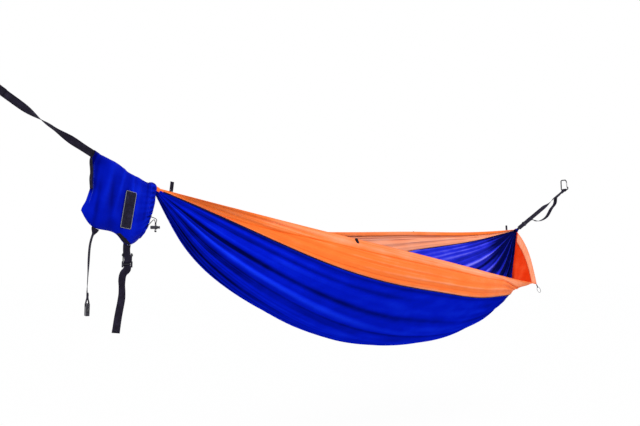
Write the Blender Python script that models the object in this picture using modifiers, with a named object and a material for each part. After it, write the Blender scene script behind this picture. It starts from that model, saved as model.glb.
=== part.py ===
"""A gathered-end hammock hung between two carabiners, with its stuff sack on the head strap.

+X runs from the head end to the foot end, +Z is up, and the near side of the cloth is towards -Y.
The origin is the seat inside the head carabiner's bow, which hangs on the head anchor.
"""

import math

import bmesh
import bpy
import numpy as np
from mathutils import Matrix

# Where the hammock hangs
HEAD_ANCHOR_RUN = 0.630
HEAD_ANCHOR_DROP = 0.300
HEAD_STRAP_SAG = 0.015
GATHER_SPAN = 2.594
FOOT_STRAP_RUN = 0.791
FOOT_STRAP_RISE = 0.350
FOOT_STRAP_SIDE = -0.018

# Gaps
TOUCH_GAP = 0.0003
SEAM_GAP = 0.0007
CORNER_SEAM_GAP = 0.0034
HINGE_GAP = 0.0004

# The bed's cloth
CLOTH_THICKNESS = 0.0014
NECK_RADIUS = 0.0125
NECK_LENGTH = 0.020
NECK_AIM = 0.05
# Where the edges and seams lie round the head and the foot neck, in degrees from the top by the near side
NEAR_EDGE_ANGLE = 16.0
NEAR_SEAM_ANGLES = (75.0, 95.0)
FAR_SEAM_ANGLE = 285.0
FAR_EDGE_ANGLE = 344.0
PLEATS = 8
HEAD_PLEAT_DEPTH = 0.009
FOOT_PLEAT_DEPTH = 0.014
PLEAT_REACH = 0.20
PLEAT_FULLNESS = 0.17
EDGE_ROLL_DEPTH = 0.022
EDGE_ROLL_WIDTH = 0.009
EDGE_ROLL_SINK = 0.001
# How far the near band bellies below its edge towards the free foot corner
CORNER_SAG = [(0.70, 0.0), (0.86, 0.11), (0.92, 0.13), (0.96, 0.10), (1.0, 0.0)]
# The free end bows outwards, level: direction, then share and reach
END_BOW_TO = (0.693, -0.721, 0.0)
END_BOW = [(0.90, 0.0), (1.0, 0.050)]
END_HEM_WIDTH = 0.075
END_HEM_THICKNESS = 0.0012

# The bed's long lines as (share of the span, across, height), from the head gather
NEAR_EDGE = [(0.218, -0.250, -0.118), (0.493, -0.280, -0.209), (0.667, -0.270, -0.265), (0.940, -0.200, -0.333)]
NEAR_SEAM = [(0.060, -0.060, -0.055), (0.215, -0.270, -0.239), (0.482, -0.300, -0.355), (0.594, -0.300, -0.384),
             (0.713, -0.262, -0.388), (0.800, -0.200, -0.388), (0.862, -0.142, -0.368), (0.905, -0.090, -0.300),
             (0.952, -0.045, -0.190)]
KEEL = [(0.012, -0.030, -0.085), (0.040, -0.050, -0.190), (0.085, -0.055, -0.287), (0.170, -0.055, -0.412),
        (0.335, -0.050, -0.556), (0.540, -0.050, -0.604), (0.694, -0.050, -0.570), (0.830, -0.045, -0.480),
        (0.920, -0.035, -0.365), (0.970, -0.020, -0.210)]
FAR_SEAM = [(0.100, 0.110, -0.130), (0.250, 0.200, -0.185), (0.424, 0.235, -0.190), (0.600, 0.225, -0.165),
            (0.715, 0.200, -0.128), (0.870, 0.110, -0.072)]
FAR_EDGE = [(0.200, 0.180, -0.065), (0.424, 0.250, -0.067), (0.723, 0.220, -0.028), (0.880, 0.120, -0.014)]

# Long creases of the side bands: (share across the band, depth, half-width)
BAND_CREASES = [(0.24, 0.0060, 0.07), (0.58, 0.0045, 0.09), (0.82, 0.0030, 0.08)]

# Counts of cells in the cloth's grid
LENGTH_CELLS = 15
CENTER_CELLS = 32
BAND_CELLS = 9

# Webbing
WEBBING_WIDTH = 0.025
WEBBING_THICKNESS = 0.0014
STRAP_END_WIDTH = 0.016
EYE_LENGTH = 0.045
EYE_SEAM = 0.040
EYE_LAYER = 0.0023
# Twist of the straps as (share of the length from the gather, degrees from the eye's own attitude)
HEAD_STRAP_TWIST = [(0.0, 270.0), (0.33, 270.0), (0.43, 180.0), (0.50, 180.0), (0.683, 90.0), (0.86, 0.0),
                    (1.0, 0.0)]
FOOT_STRAP_TWIST = [(0.0, 54.0), (0.50, 54.0), (0.70, -36.0), (0.80, 0.0), (1.0, 0.0)]
# The slack leg, in shares of the foot strap's length where it lies on the taut leg, and in metres between
TAIL_LOWER = (0.075, 0.270)
TAIL_UPPER = (0.800, 0.860)
TAIL_SAG = [(0.310, 0.087), (0.384, 0.096), (0.485, 0.137), (0.559, 0.197), (0.620, 0.247)]
KEEPER_AT = 0.165
KEEPER_LENGTH = 0.014
KEEPER_WALL = 0.0022

# Gathered cloth ends and their wraps
CORE_LENGTH = 0.036
CORE_INNER = 0.008
CORE_BEVEL = 0.003
CORE_FLUTES = 9
CORE_FLUTE_DEPTH = 0.0006
SLOT_DEPTH = 0.018
SLOT_PLAY = 0.0012
WRAP_THICKNESS = 0.0012
WRAP_MARGIN = 0.003

# Carabiners
BAR_RADIUS = 0.004
SPINE_LENGTH = 0.072
BASKET_LENGTH = 0.050
TOP_LENGTH = 0.034
CORNER_RADIUS = 0.009
NOSE_HEIGHT = 0.019
NOSE_LEAN = 0.003
PIVOT_DROP = 0.015
PIVOT_OUT = 0.040
BAR_END = 0.0038
WIRE_RADIUS = 0.0012
FOOT_INSET = 0.0026

# Stuff sack, in metres along and up from the head gather
SACK_WALL = 0.0010
CLOSURE_DROP = 0.0005
ANCHOR_DROP = 0.0004
SACK_TOP = [(-0.226, 0.1092), (-0.195, 0.095), (-0.140, 0.0725), (-0.118, 0.0585), (-0.073, 0.0395), (-0.045, 0.030),
            (-0.014, 0.024)]
SACK_BOTTOM = [(-0.260, -0.081), (-0.219, -0.130), (-0.143, -0.149), (-0.108, -0.180), (-0.080, -0.172),
               (-0.050, -0.137)]
# How far the base and the mouth bow along X: (share of the depth below the top, bow), and where the bows die out
SACK_BASE_BOW = [(0.0, 0.0), (0.15, -0.005), (0.42, 0.006), (0.71, 0.017), (1.0, 0.0)]
SACK_MOUTH_BOW = [(0.0, 0.0), (0.45, 0.010), (0.75, 0.008), (1.0, 0.0)]
SACK_BOW_REACH = 0.22
SACK_CELLS = 11
# Points of the sack's section, counted from its top down the near side
SACK_SEAM_START = 4
DRAWSTRING_EXIT = 6
BINDING_POINTS = (5, 6, 7)
SACK_TOP_RADIUS = 0.0150
SACK_MOUTH_RADIUS = 0.0180
SACK_BASE_THIN = 0.0022
SACK_BELLY = 0.0165
SACK_MOUTH_BELLY = 0.0125
SACK_TAPER = 0.030
SACK_KEEL = 0.009
SACK_KEEL_SHARE = 0.55
HEM_START = 0.905
HEM_BULGE = 0.0042
HEM_EDGE = 0.0013
HEM_WALL = 0.0008
BINDING_WIDTH = 0.008
BINDING_WALL = 0.0012
BINDING_SWELL = 0.0024
PATCH_WIDTH = 0.038
PATCH_HEIGHT = 0.122
PATCH_THICKNESS = 0.0009
PATCH_CORNER = 0.003
PATCH_AT = (-0.114, -0.070)
PATCH_TILT = 8.3

# Drawstring and cord lock
CORD_RADIUS = 0.00125
CORD_GAP = 0.0008
STRAND_SPACING = 0.0030
STRAND_STRAIGHT = 0.003
STRAND_OUT = (0.008, 0.0045)
STRAND_BULGES = (-0.004, 0.004)
STRAND_ABOVE_LOCK = (0.024, 0.016, 0.008)
LOCK_AT = (-0.0205, -0.0245, -0.1210)
LOCK_YAW = -46.0
BARREL_RADIUS = 0.0055
BARREL_BACK = 0.0160
BARREL_FRONT = 0.0065
BARREL_FLOOR = 0.0015
PLUNGER_RADIUS = 0.0038
PLUNGER_BACK = 0.0090
PLUNGER_HOLLOW = 0.0050
PLUNGER_HEAD_RADIUS = 0.0048
PLUNGER_HEAD = 0.0025
PRESS_TRAVEL = 0.0040
SPRING_RADIUS = 0.0023
SPRING_WIRE = 0.0003
SPRING_TURNS = 4
KNOT_RADIUS = 0.0034
KNOT_DROP = 0.0035

# Sack straps and the side-release buckle, in metres from the head gather
CLOSURE_TOP = -0.1060
CLOSURE_UPPER = [(-0.1072, -0.197), (-0.1045, -0.213)]
CLOSURE_LOWER = [(-0.1110, -0.266), (-0.1195, -0.289), (-0.1180, -0.334), (-0.1260, -0.392), (-0.1345, -0.456)]
BUCKLE_AT = (-0.1020, -0.2312)
BUCKLE_WIDTH = 0.036
BUCKLE_THICKNESS = 0.0036
BUCKLE_RAIL = 0.0020
BUCKLE_SLOT = 0.0070
BUCKLE_BAR = 0.0030
BUCKLE_GUIDE = 0.018
ARM_LENGTH = 0.025
ARM_WIDTH = 0.0032
ARM_AT = 0.0143
ARM_BARB = 0.0026
ANCHOR_TOP = -0.2122
ANCHOR_PATH = [(-0.2205, -0.154), (-0.2275, -0.182), (-0.2300, -0.219), (-0.2310, -0.285), (-0.2315, -0.325)]
FEMALE_AT = (-0.2295, -0.3630)
# The strap and its buckle hang turned about Z, in degrees from facing along X
ANCHOR_TURNS = [(0.045, -38.0), (0.090, -38.0), (0.160, -28.0), (0.210, -17.0)]
FEMALE_THICKNESS = 0.0105
FEMALE_BODY = 0.028
FEMALE_SLOT = 0.0052
FEMALE_BAR = 0.0040
FEMALE_WALL = 0.0021
WINDOW_LENGTH = 0.012
WINDOW_HEIGHT = 0.0046

# Small webbing loops on the edges: (share of the length, height, lean along X)
LOOP_WIDTH = 0.012
NEAR_HEAD_LOOP = (0.012, 0.036, 0.15)
NEAR_MID_LOOP = (0.278, 0.020, 0.80)
FAR_MID_LOOP = (0.690, 0.022, 0.30)
FAR_FOOT_LOOP = (0.975, 0.030, 0.05)
LOOP_BEND = 0.0016

# Corner tab and ring
TAB_WIDTH = 0.004
TAB_LENGTH = 0.018
TAB_PLAY = 0.0015
RING_WIDTH = 0.018
RING_LENGTH = 0.034
RING_WIRE = 0.0012
RING_SLANT = 22.0

COLOURS = {
    "blue cloth": ((0.012, 0.02, 0.60, 1.0), 0.55, 0.0),
    "orange cloth": ((1.0, 0.22, 0.02, 1.0), 0.55, 0.0),
    "black webbing": ((0.012, 0.012, 0.018, 1.0), 0.8, 0.0),
    "black plastic": ((0.015, 0.015, 0.018, 1.0), 0.4, 0.0),
    "black metal": ((0.02, 0.02, 0.025, 1.0), 0.35, 0.9),
    "grey steel": ((0.45, 0.45, 0.46, 1.0), 0.3, 1.0),
    "label": ((0.02, 0.02, 0.03, 1.0), 0.6, 0.0),
}


def unit(vector):
    """The vector at length 1."""
    vector = np.array(vector, float)
    return vector / np.linalg.norm(vector)


def eased(at, table):
    """A value read from (place, value) pairs, levelling out at each pair."""
    for (a, low), (b, high) in zip(table, table[1:]):
        if at <= b:
            share = min(max((at - a) / (b - a), 0.0), 1.0)
            return low + (high - low) * share * share * (3 - 2 * share)
    return table[-1][1]


def natural_spline(points):
    """Points, knots by chord length, and second derivatives of a natural cubic through the points."""
    p = np.array(points, float)
    knots = np.concatenate([[0.0], np.cumsum(np.linalg.norm(np.diff(p, axis=0), axis=1))])
    h = np.diff(knots)
    system = np.eye(len(p))
    right = np.zeros_like(p)
    for i in range(1, len(p) - 1):
        system[i, i - 1:i + 2] = h[i - 1], 2 * (h[i - 1] + h[i]), h[i]
        right[i] = 6 * ((p[i + 1] - p[i]) / h[i] - (p[i] - p[i - 1]) / h[i - 1])
    return p, knots, np.linalg.solve(system, right)


def on_spline(spline, at):
    """Places on a natural spline at the given distances."""
    p, knots, bend = spline
    at = np.atleast_1d(np.array(at, float))
    i = np.clip(np.searchsorted(knots, at, side="right") - 1, 0, len(p) - 2)
    h = (knots[i + 1] - knots[i])[:, None]
    u = (at - knots[i])[:, None] / h
    w = 1 - u
    return w * p[i] + u * p[i + 1] + ((w**3 - w) * bend[i] + (u**3 - u) * bend[i + 1]) * h**2 / 6


def smooth_path(points, count):
    """count points spread evenly along a smooth curve through the given points."""
    spline = natural_spline(points)
    return on_spline(spline, np.linspace(0, spline[1][-1], count))


def fine_path(points, each):
    """A smooth curve through the given points, with each extra steps between neighbours."""
    spline = natural_spline(points)
    knots = spline[1]
    at = np.concatenate([np.linspace(a, b, each, endpoint=False) for a, b in zip(knots, knots[1:])])
    return on_spline(spline, np.append(at, knots[-1]))


def rounded_path(corners, radius, steps=4, closed=False):
    """The corners joined by straight runs, each corner rounded by an arc-like curve of the given radius."""
    corners = [np.array(c, float) for c in corners]
    n = len(corners)
    path = []
    for i, corner in enumerate(corners):
        if not closed and i in (0, n - 1):
            path.append(corner)
            continue
        before = unit(corners[i - 1] - corner)
        after = unit(corners[(i + 1) % n] - corner)
        half = math.acos(float(np.clip(before @ after, -1, 1))) / 2
        back = radius / math.tan(half)
        centre = corner + unit(before + after) * radius / math.sin(half)
        start = corner + before * back - centre
        end = corner + after * back - centre
        swing = math.pi - 2 * half
        for k in range(steps + 1):
            f = k / steps
            path.append(centre + (start * math.sin((1 - f) * swing) + end * math.sin(f * swing)) / math.sin(swing))
    return path


def new_scene():
    """Remove what the scene holds and make the two collections."""
    for old in list(bpy.data.objects):
        bpy.data.objects.remove(old, do_unlink=True)
    for name in ("hammock", "cutters"):
        bpy.context.scene.collection.children.link(bpy.data.collections.new(name))


def finish(name):
    """The material of that name, made when it is first asked for."""
    material = bpy.data.materials.get(name)
    if material is None:
        colour, roughness, metallic = COLOURS[name]
        material = bpy.data.materials.new(name)
        material.use_nodes = True
        shader = material.node_tree.nodes["Principled BSDF"]
        shader.inputs["Base Color"].default_value = colour
        shader.inputs["Roughness"].default_value = roughness
        shader.inputs["Metallic"].default_value = metallic
        material.diffuse_color = colour
    return material


def add(name, data, material, origin=None, axes=None, collection="hammock"):
    """Put an object at an origin, with its local axes along the given directions."""
    obj = bpy.data.objects.new(name, data)
    bpy.data.collections[collection].objects.link(obj)
    if material is not None:
        data.materials.append(finish(material))
    placed = Matrix.Identity(4)
    if axes is not None:
        for k in range(3):
            placed.col[k][:3] = tuple(float(x) for x in axes[k])
    if origin is not None:
        placed.col[3][:3] = tuple(float(x) for x in origin)
    obj.matrix_world = placed
    return obj


def weld(obj):
    """Join a curve's loose caps to its sides."""
    modifier = obj.modifiers.new("weld", "WELD")
    modifier.merge_threshold = 0.00001
    return obj


def sheet(name, rows, thickness, material, origin=(0, 0, 0), extra_faces=()):
    """A shell of even thickness about the surface through rows of points."""
    rows = np.array(rows, float) - np.array(origin, float)
    m, n = rows.shape[:2]
    faces = [(i * n + j, i * n + j + 1, (i + 1) * n + j + 1, (i + 1) * n + j)
             for i in range(m - 1) for j in range(n - 1)]
    mesh = bpy.data.meshes.new(name)
    mesh.from_pydata(rows.reshape(-1, 3).tolist(), [], faces + list(extra_faces))
    mesh.update()
    obj = add(name, mesh, material, origin)
    shell = obj.modifiers.new("thickness", "SOLIDIFY")
    shell.thickness = thickness
    shell.offset = 0.0
    return obj


def webbing(name, path, across, width=WEBBING_WIDTH, origin=(0, 0, 0)):
    """A flat strap along a path, with the direction of its width at each point; width may vary along it."""
    half = np.broadcast_to(np.array(width, float), (len(path),))[:, None] / 2
    across = np.array([unit(a) for a in across])
    rows = np.stack([np.array(path) - across * half, np.array(path) + across * half], axis=1)
    return sheet(name, rows, WEBBING_THICKNESS, "black webbing", origin)


def tube(name, path, radius, material, origin=None, axes=None, resolution=2, closed=False, tilt=0.0, flat=True):
    """A round bar along a path."""
    curve = bpy.data.curves.new(name, "CURVE")
    curve.dimensions = "3D"
    curve.twist_mode = "Z_UP" if flat else "MINIMUM"
    curve.bevel_depth = radius
    curve.bevel_resolution = resolution
    curve.use_fill_caps = True
    spline = curve.splines.new("POLY")
    spline.points.add(len(path) - 1)
    for point, place in zip(spline.points, path):
        point.co = (float(place[0]), float(place[1]), float(place[2]) if len(place) > 2 else 0.0, 1.0)
        point.tilt = tilt
    spline.use_cyclic_u = closed
    return weld(add(name, curve, material, origin, axes))


def flat_outline(name, outlines, thickness, material, origin, axes):
    """A plate: the first outline is its edge and any others are holes through it."""
    curve = bpy.data.curves.new(name, "CURVE")
    curve.dimensions = "2D"
    curve.fill_mode = "BOTH"
    curve.extrude = thickness / 2
    for outline in outlines:
        spline = curve.splines.new("POLY")
        spline.points.add(len(outline) - 1)
        for point, place in zip(spline.points, outline):
            point.co = (float(place[0]), float(place[1]), 0.0, 1.0)
        spline.use_cyclic_u = True
    return weld(add(name, curve, material, origin, axes))


def turned(name, profile, material, origin, axes, steps=24, closed=False):
    """A turned piece about its local Z; the profile of (radius, height) runs down its outer side."""
    mesh = bpy.data.meshes.new(name)
    last = len(profile) if closed else len(profile) - 1
    mesh.from_pydata([(r, 0.0, z) for r, z in profile], [(i, (i + 1) % len(profile)) for i in range(last)], [])
    obj = add(name, mesh, material, origin, axes)
    screw = obj.modifiers.new("turn", "SCREW")
    screw.angle = math.tau
    screw.steps = steps
    screw.render_steps = steps
    screw.use_merge_vertices = True
    screw.merge_threshold = 0.00001
    return obj


def as_mesh(obj):
    """A mesh object in place of a curve object, so that it can be cut."""
    bpy.context.view_layer.update()
    evaluated = obj.evaluated_get(bpy.context.evaluated_depsgraph_get())
    mesh = bpy.data.meshes.new_from_object(evaluated)
    welded = bmesh.new()
    welded.from_mesh(mesh)
    bmesh.ops.remove_doubles(welded, verts=welded.verts, dist=0.00001)
    welded.to_mesh(mesh)
    welded.free()
    name = obj.name
    matrix = obj.matrix_world.copy()
    bpy.data.objects.remove(obj)
    made = bpy.data.objects.new(name, mesh)
    bpy.data.collections["hammock"].objects.link(made)
    made.matrix_world = matrix
    return made


def cut(obj, cutter):
    """Cut one shape out of another."""
    modifier = obj.modifiers.new("cut " + cutter.name, "BOOLEAN")
    modifier.operation = "DIFFERENCE"
    modifier.solver = "EXACT"
    modifier.object = cutter
    return obj


def box_cutter(name, low, high, matrix):
    """A box between two local corners, for cutting."""
    mesh = bpy.data.meshes.new(name)
    box = bmesh.new()
    bmesh.ops.create_cube(box, size=1.0)
    size = [h - l for l, h in zip(low, high)]
    middle = [(h + l) / 2 for l, h in zip(low, high)]
    bmesh.ops.scale(box, vec=size, verts=box.verts)
    bmesh.ops.translate(box, vec=middle, verts=box.verts)
    box.to_mesh(mesh)
    box.free()
    return hidden_cutter(name, mesh, matrix)


def round_cutter(name, radius, length, matrix):
    """A cylinder along its local Z, for cutting."""
    mesh = bpy.data.meshes.new(name)
    made = bmesh.new()
    bmesh.ops.create_cone(made, cap_ends=True, segments=12, radius1=radius, radius2=radius, depth=length)
    made.to_mesh(mesh)
    made.free()
    return hidden_cutter(name, mesh, matrix)


def hidden_cutter(name, mesh, matrix):
    """A cutter object that only shows as wire."""
    cutter = bpy.data.objects.new(name, mesh)
    bpy.data.collections["cutters"].objects.link(cutter)
    cutter.matrix_world = matrix
    cutter.hide_render = True
    cutter.display_type = "WIRE"
    return cutter


def frame_matrix(origin, axes):
    """The matrix of a local frame."""
    placed = Matrix.Identity(4)
    for k in range(3):
        placed.col[k][:3] = tuple(float(x) for x in axes[k])
    placed.col[3][:3] = tuple(float(x) for x in origin)
    return placed


# The main places of the hammock
X_AXIS = np.array([1.0, 0.0, 0.0])
Y_AXIS = np.array([0.0, 1.0, 0.0])
Z_AXIS = np.array([0.0, 0.0, 1.0])
HEAD_GATHER = np.array([HEAD_ANCHOR_RUN, 0.0, -HEAD_ANCHOR_DROP])
FOOT_GATHER = HEAD_GATHER + np.array([GATHER_SPAN, 0.0, 0.0])
FOOT_EYE = FOOT_GATHER + np.array([FOOT_STRAP_RUN, FOOT_STRAP_SIDE, FOOT_STRAP_RISE])
LAYER = WEBBING_THICKNESS + TOUCH_GAP
SEAT_ACROSS = TOP_LENGTH / 2
SEAT_ALONG = SPINE_LENGTH - BAR_RADIUS * math.cos(math.pi / 8)


def head_carabiner_frame():
    """The head carabiner's corner and its across and along directions, with its seat at the origin."""
    along = unit(-HEAD_GATHER + Z_AXIS * 4 * HEAD_STRAP_SAG)
    across = np.array([along[2], 0.0, -along[0]])
    return -across * SEAT_ACROSS - along * SEAT_ALONG, across, along


def foot_carabiner_frame():
    """The foot carabiner's corner and its directions: it hangs upright, side on to the hammock."""
    return FOOT_EYE + Y_AXIS * BASKET_LENGTH / 2, -Y_AXIS, Z_AXIS


def head_eye():
    """The middle of the head carabiner's basket bar."""
    corner, across, _ = head_carabiner_frame()
    return corner + across * BASKET_LENGTH / 2


def head_strap_place(share):
    """A place on the head strap's centre line, from the gather to its eye."""
    place = HEAD_GATHER + (head_eye() - HEAD_GATHER) * share
    return place - Z_AXIS * 4 * HEAD_STRAP_SAG * share * (1 - share)


def foot_strap_place(share):
    """A place on the taut foot strap's centre line, from the gather to its eye."""
    return FOOT_GATHER + (FOOT_EYE - FOOT_GATHER) * share


def neck_frames():
    """For each neck: its middle, its outward axis towards the strap, and the direction across its top."""
    frames = []
    for middle, place in ((HEAD_GATHER, head_strap_place), (FOOT_GATHER, foot_strap_place)):
        outward = unit(place(NECK_AIM) - place(0.0))
        top = unit(Z_AXIS - outward * outward[2])
        frames.append((middle, outward, top))
    return frames


def on_neck(end, angle, outward=0.0, radius=NECK_RADIUS):
    """A point round a neck: 0 degrees is its top and 90 its near side."""
    middle, axis, top = neck_frames()[end]
    near = np.cross(top, axis) if end == 0 else np.cross(axis, top)
    turn = math.radians(angle)
    return middle + axis * outward + radius * (math.cos(turn) * top + math.sin(turn) * near)


def guide_lines():
    """The five long lines of the bed as splines: near edge, near seam, keel, far seam, far edge."""
    heads = (NEAR_EDGE_ANGLE, NEAR_SEAM_ANGLES[0], 180.0, FAR_SEAM_ANGLE, FAR_EDGE_ANGLE)
    feet = (None, NEAR_SEAM_ANGLES[1], 180.0, FAR_SEAM_ANGLE, FAR_EDGE_ANGLE)
    lines = []
    for points, head, foot in zip((NEAR_EDGE, NEAR_SEAM, KEEL, FAR_SEAM, FAR_EDGE), heads, feet):
        line = [HEAD_GATHER + np.array([x * GATHER_SPAN, y, z]) for x, y, z in points]
        end = [] if foot is None else [on_neck(1, foot)]
        lines.append(natural_spline([on_neck(0, head)] + line + end))
    return lines


def row_share(i, cells):
    """Rows crowd towards both gathers, where the folds are tight."""
    x = i / cells
    return 0.55 * x + 0.45 * (1 - math.cos(math.pi * x)) / 2


def pleat_height(share, across, girth):
    """How far a pleat lifts the centre panel, strong near the gathers and dying out along the bed."""
    place = across * PLEATS
    ridge = 1 - 4 * abs((place + 0.25) % 1.0 - 0.5)
    ridge *= min(1.0, place / 2, (PLEATS - place) / 2)
    head = HEAD_PLEAT_DEPTH * math.exp(-share / PLEAT_REACH) * (1 - math.exp(-share / 0.02))
    foot = FOOT_PLEAT_DEPTH * math.exp(-(1 - share) / PLEAT_REACH) * (1 - math.exp(-(1 - share) / 0.02))
    return ridge * min(head + foot, girth / PLEATS * PLEAT_FULLNESS)


def crease_height(share, across, girth):
    """How far the long creases press a side band inwards."""
    fade = 1 - math.exp(-min(share, 1 - share) / 0.04)
    pressed = sum(depth * math.exp(-((across - at) / half) ** 2) for at, depth, half in BAND_CREASES)
    return fade * min(1.0, girth / 0.1) * pressed


def with_roll(rows, shares, edge, inner, necks, end_angle, step):
    """The rows with the band's edge turned in: two more points past the edge, hanging inside the band."""
    edge_line = np.array([row[edge] for row in rows])
    normals = surface_normals(rows)
    made = []
    for i, (row, share) in enumerate(zip(rows, shares)):
        grown = 1 - math.exp(-share / 0.06)
        if 1 in necks:
            grown *= 1 - math.exp(-(1 - share) / 0.06)
        down = unit(row[inner] - row[edge])
        run = edge_line[min(i + 1, len(rows) - 1)] - edge_line[max(i - 1, 0)]
        inward = unit(np.cross(Z_AXIS, run)) * (1 if edge == 0 else -1)
        corner = 0.0 if 1 in necks else eased(share, [(0.78, 0.0), (0.90, 1.0)])
        inward = unit(inward * (1 - corner) + normals[i, edge] * corner)
        size = 1 - 0.6 * corner
        roll = []
        for k, (out, drop) in enumerate(((1.0, 0.0), (0.9, EDGE_ROLL_DEPTH)), start=1):
            turned_in = (inward * EDGE_ROLL_WIDTH * out + down * drop * size * size) * size
            turned_in -= Z_AXIS * EDGE_ROLL_SINK * (1 - corner)
            end = 0 if share < 0.5 else 1
            along_neck = on_neck(end, end_angle + step * 6 * k) - on_neck(end, end_angle)
            roll.append(row[edge] + turned_in * grown + along_neck * (1 - grown))
        made.append(list(reversed(roll)) + list(row) if edge == 0 else list(row) + roll)
    return made


def near_edge_place(edge, seam_x, share):
    """The near edge's place in a row: level with the seam at first, then falling back to the foot corner."""
    at = np.linspace(0, edge[1][-1], 200)
    places = on_spline(edge, at)
    back = (FOOT_GATHER[0] - places[-1, 0]) * eased(share, [(0.3, 0.0), (1.0, 1.0)])
    return on_spline(edge, np.interp(seam_x - back, places[:, 0], at))[0]


def section(lines, share, center_cells, band_cells):
    """One row of the bed across from the near edge to the far edge, before its folds."""
    _, near_seam, keel, far_seam, far = (on_spline(line, share * line[1][-1])[0] for line in lines)
    near = near_edge_place(lines[0], near_seam[0], share)
    across = natural_spline([near_seam, keel, far_seam, far])
    knots = across[1]
    center = on_spline(across, np.linspace(0, knots[2], center_cells + 1))
    far_band = on_spline(across, np.linspace(knots[2], knots[3], band_cells + 1))
    chord = np.linalg.norm(near - near_seam)
    leaving = unit(center[0] - center[1]) * chord * 0.38
    straight = (near - near_seam) * 0.33
    fade = eased(share, [(0.78, 0.0), (0.92, 1.0)])
    sag = Z_AXIS * eased(share, CORNER_SAG)
    low = near_seam + leaving * (1 - fade) + straight * fade
    high = near + (low - near) * 0.45 - sag
    bow = np.array(END_BOW_TO) * eased(share, END_BOW)
    low, high = low + bow, high + bow * 0.3
    near_band = []
    for f in np.linspace(0, 1, band_cells + 1):
        w = 1 - f
        near_band.append(w**3 * near + 3 * w * w * f * high + 3 * w * f * f * low + f**3 * near_seam)
    return near_band, list(center), list(far_band)


def neck_row(end, outward, center_cells, band_cells):
    """One row of the bed lying round a neck."""
    seam = NEAR_SEAM_ANGLES[end]
    near = [on_neck(end, a, outward) for a in np.linspace(NEAR_EDGE_ANGLE, seam, band_cells + 1)]
    center = [on_neck(end, a, outward) for a in np.linspace(seam, FAR_SEAM_ANGLE, center_cells + 1)]
    far = [on_neck(end, a, outward) for a in np.linspace(FAR_SEAM_ANGLE, FAR_EDGE_ANGLE, band_cells + 1)]
    return near, center, far


def surface_normals(rows):
    """The unit normals of a grid of rows, towards the inside of the bed."""
    rows = np.array(rows)
    normal = np.cross(np.gradient(rows, axis=0), np.gradient(rows, axis=1))
    return normal / np.maximum(np.linalg.norm(normal, axis=2, keepdims=True), 1e-12)


def lifted(rows, shares, height):
    """Rows moved along the surface's own normals by height(share, share across, the row's own length)."""
    rows = np.array(rows)
    last = rows.shape[1] - 1
    girths = np.linalg.norm(np.diff(rows, axis=1), axis=2).sum(axis=1)
    lift = np.array([[height(s, j / last, girth) for j in range(last + 1)] for s, girth in zip(shares, girths)])
    return rows + surface_normals(rows) * lift[:, :, None]


def pull_back(rows, column, neighbour, shares=None):
    """Draw one edge column back from a seam, so that two panels don't touch; more where the seam folds sharply."""
    rows = np.array(rows)
    back = rows[:, neighbour] - rows[:, column]
    gaps = np.full((len(rows), 1), SEAM_GAP / 2)
    if shares is not None:
        gaps += np.array([[eased(share, [(0.80, 0.0), (1.0, CORNER_SEAM_GAP)])] for share in shares])
    rows[:, column] += back / np.linalg.norm(back, axis=1, keepdims=True) * gaps
    return rows


def bed_rows():
    """The rows of the three panels, with their folds, their necks and their rolled edges."""
    lines = guide_lines()
    shares = [row_share(i, LENGTH_CELLS) for i in range(LENGTH_CELLS + 1)]
    near, center, far = [], [], []
    for share in shares:
        row = section(lines, share, CENTER_CELLS, BAND_CELLS)
        if share == 0.0:
            row = neck_row(0, 0.0, CENTER_CELLS, BAND_CELLS)
        elif share == 1.0:
            row = (row[0],) + neck_row(1, 0.0, CENTER_CELLS, BAND_CELLS)[1:]
        for rows, part in zip((near, center, far), row):
            rows.append(part)
    near[-1][-1] = center[-1][0]
    near = pull_back(lifted(near, shares, crease_height), -1, -2, shares)
    center = lifted(center, shares, pleat_height)
    far = pull_back(lifted(far, shares, lambda s, a, girth: crease_height(s, 1 - a, girth)), 0, 1)
    center = pull_back(pull_back(center, 0, 1), -1, -2)
    length = np.linalg.norm(near[-1] - near[-2], axis=1, keepdims=True)
    hem_line = near[-1] + (near[-2] - near[-1]) * np.minimum(END_HEM_WIDTH / length, 0.9)
    near = np.concatenate([near[:-1], [hem_line], near[-1:]])
    near = with_roll(near, shares[:-1] + [1.0, 1.0], 0, 1, (0,), NEAR_EDGE_ANGLE, -1)
    far = with_roll(far, shares, -1, -2, (0, 1), FAR_EDGE_ANGLE, 1)
    return shares, with_neck(near, (0,)), with_neck(center, (0, 1)), with_neck(far, (0, 1))


def with_neck(rows, ends):
    """The rows with their end rows carried outward along the neck."""
    rows = [np.array(row) for row in rows]
    for end in ends:
        outward = neck_frames()[end][1] * NECK_LENGTH
        if end == 0:
            rows.insert(0, rows[0] + outward)
        else:
            rows.append(rows[-1] + outward)
    return rows


def make_bed():
    """The three panels and the end hem; gives the near and far edge lines for what is sewn to them."""
    shares, near, center, far = bed_rows()
    sheet("near_side_band", near, CLOTH_THICKNESS, "orange cloth")
    sheet("center_panel", center, CLOTH_THICKNESS, "blue cloth")
    sheet("far_side_band", far, CLOTH_THICKNESS, "orange cloth")
    inside = surface_normals(near)
    offset = (CLOTH_THICKNESS + END_HEM_THICKNESS) / 2 + TOUCH_GAP * 2
    hem = [near[k][4:-2] + inside[k][4:-2] * offset for k in (-2, -1)]
    sheet("foot_end_hem", hem, END_HEM_THICKNESS, "orange cloth")
    near_edge = [row[2] for row in near[1:-2]] + [near[-1][2]]
    return near_edge, [row[-3] for row in far[1:-1]], shares


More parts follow.
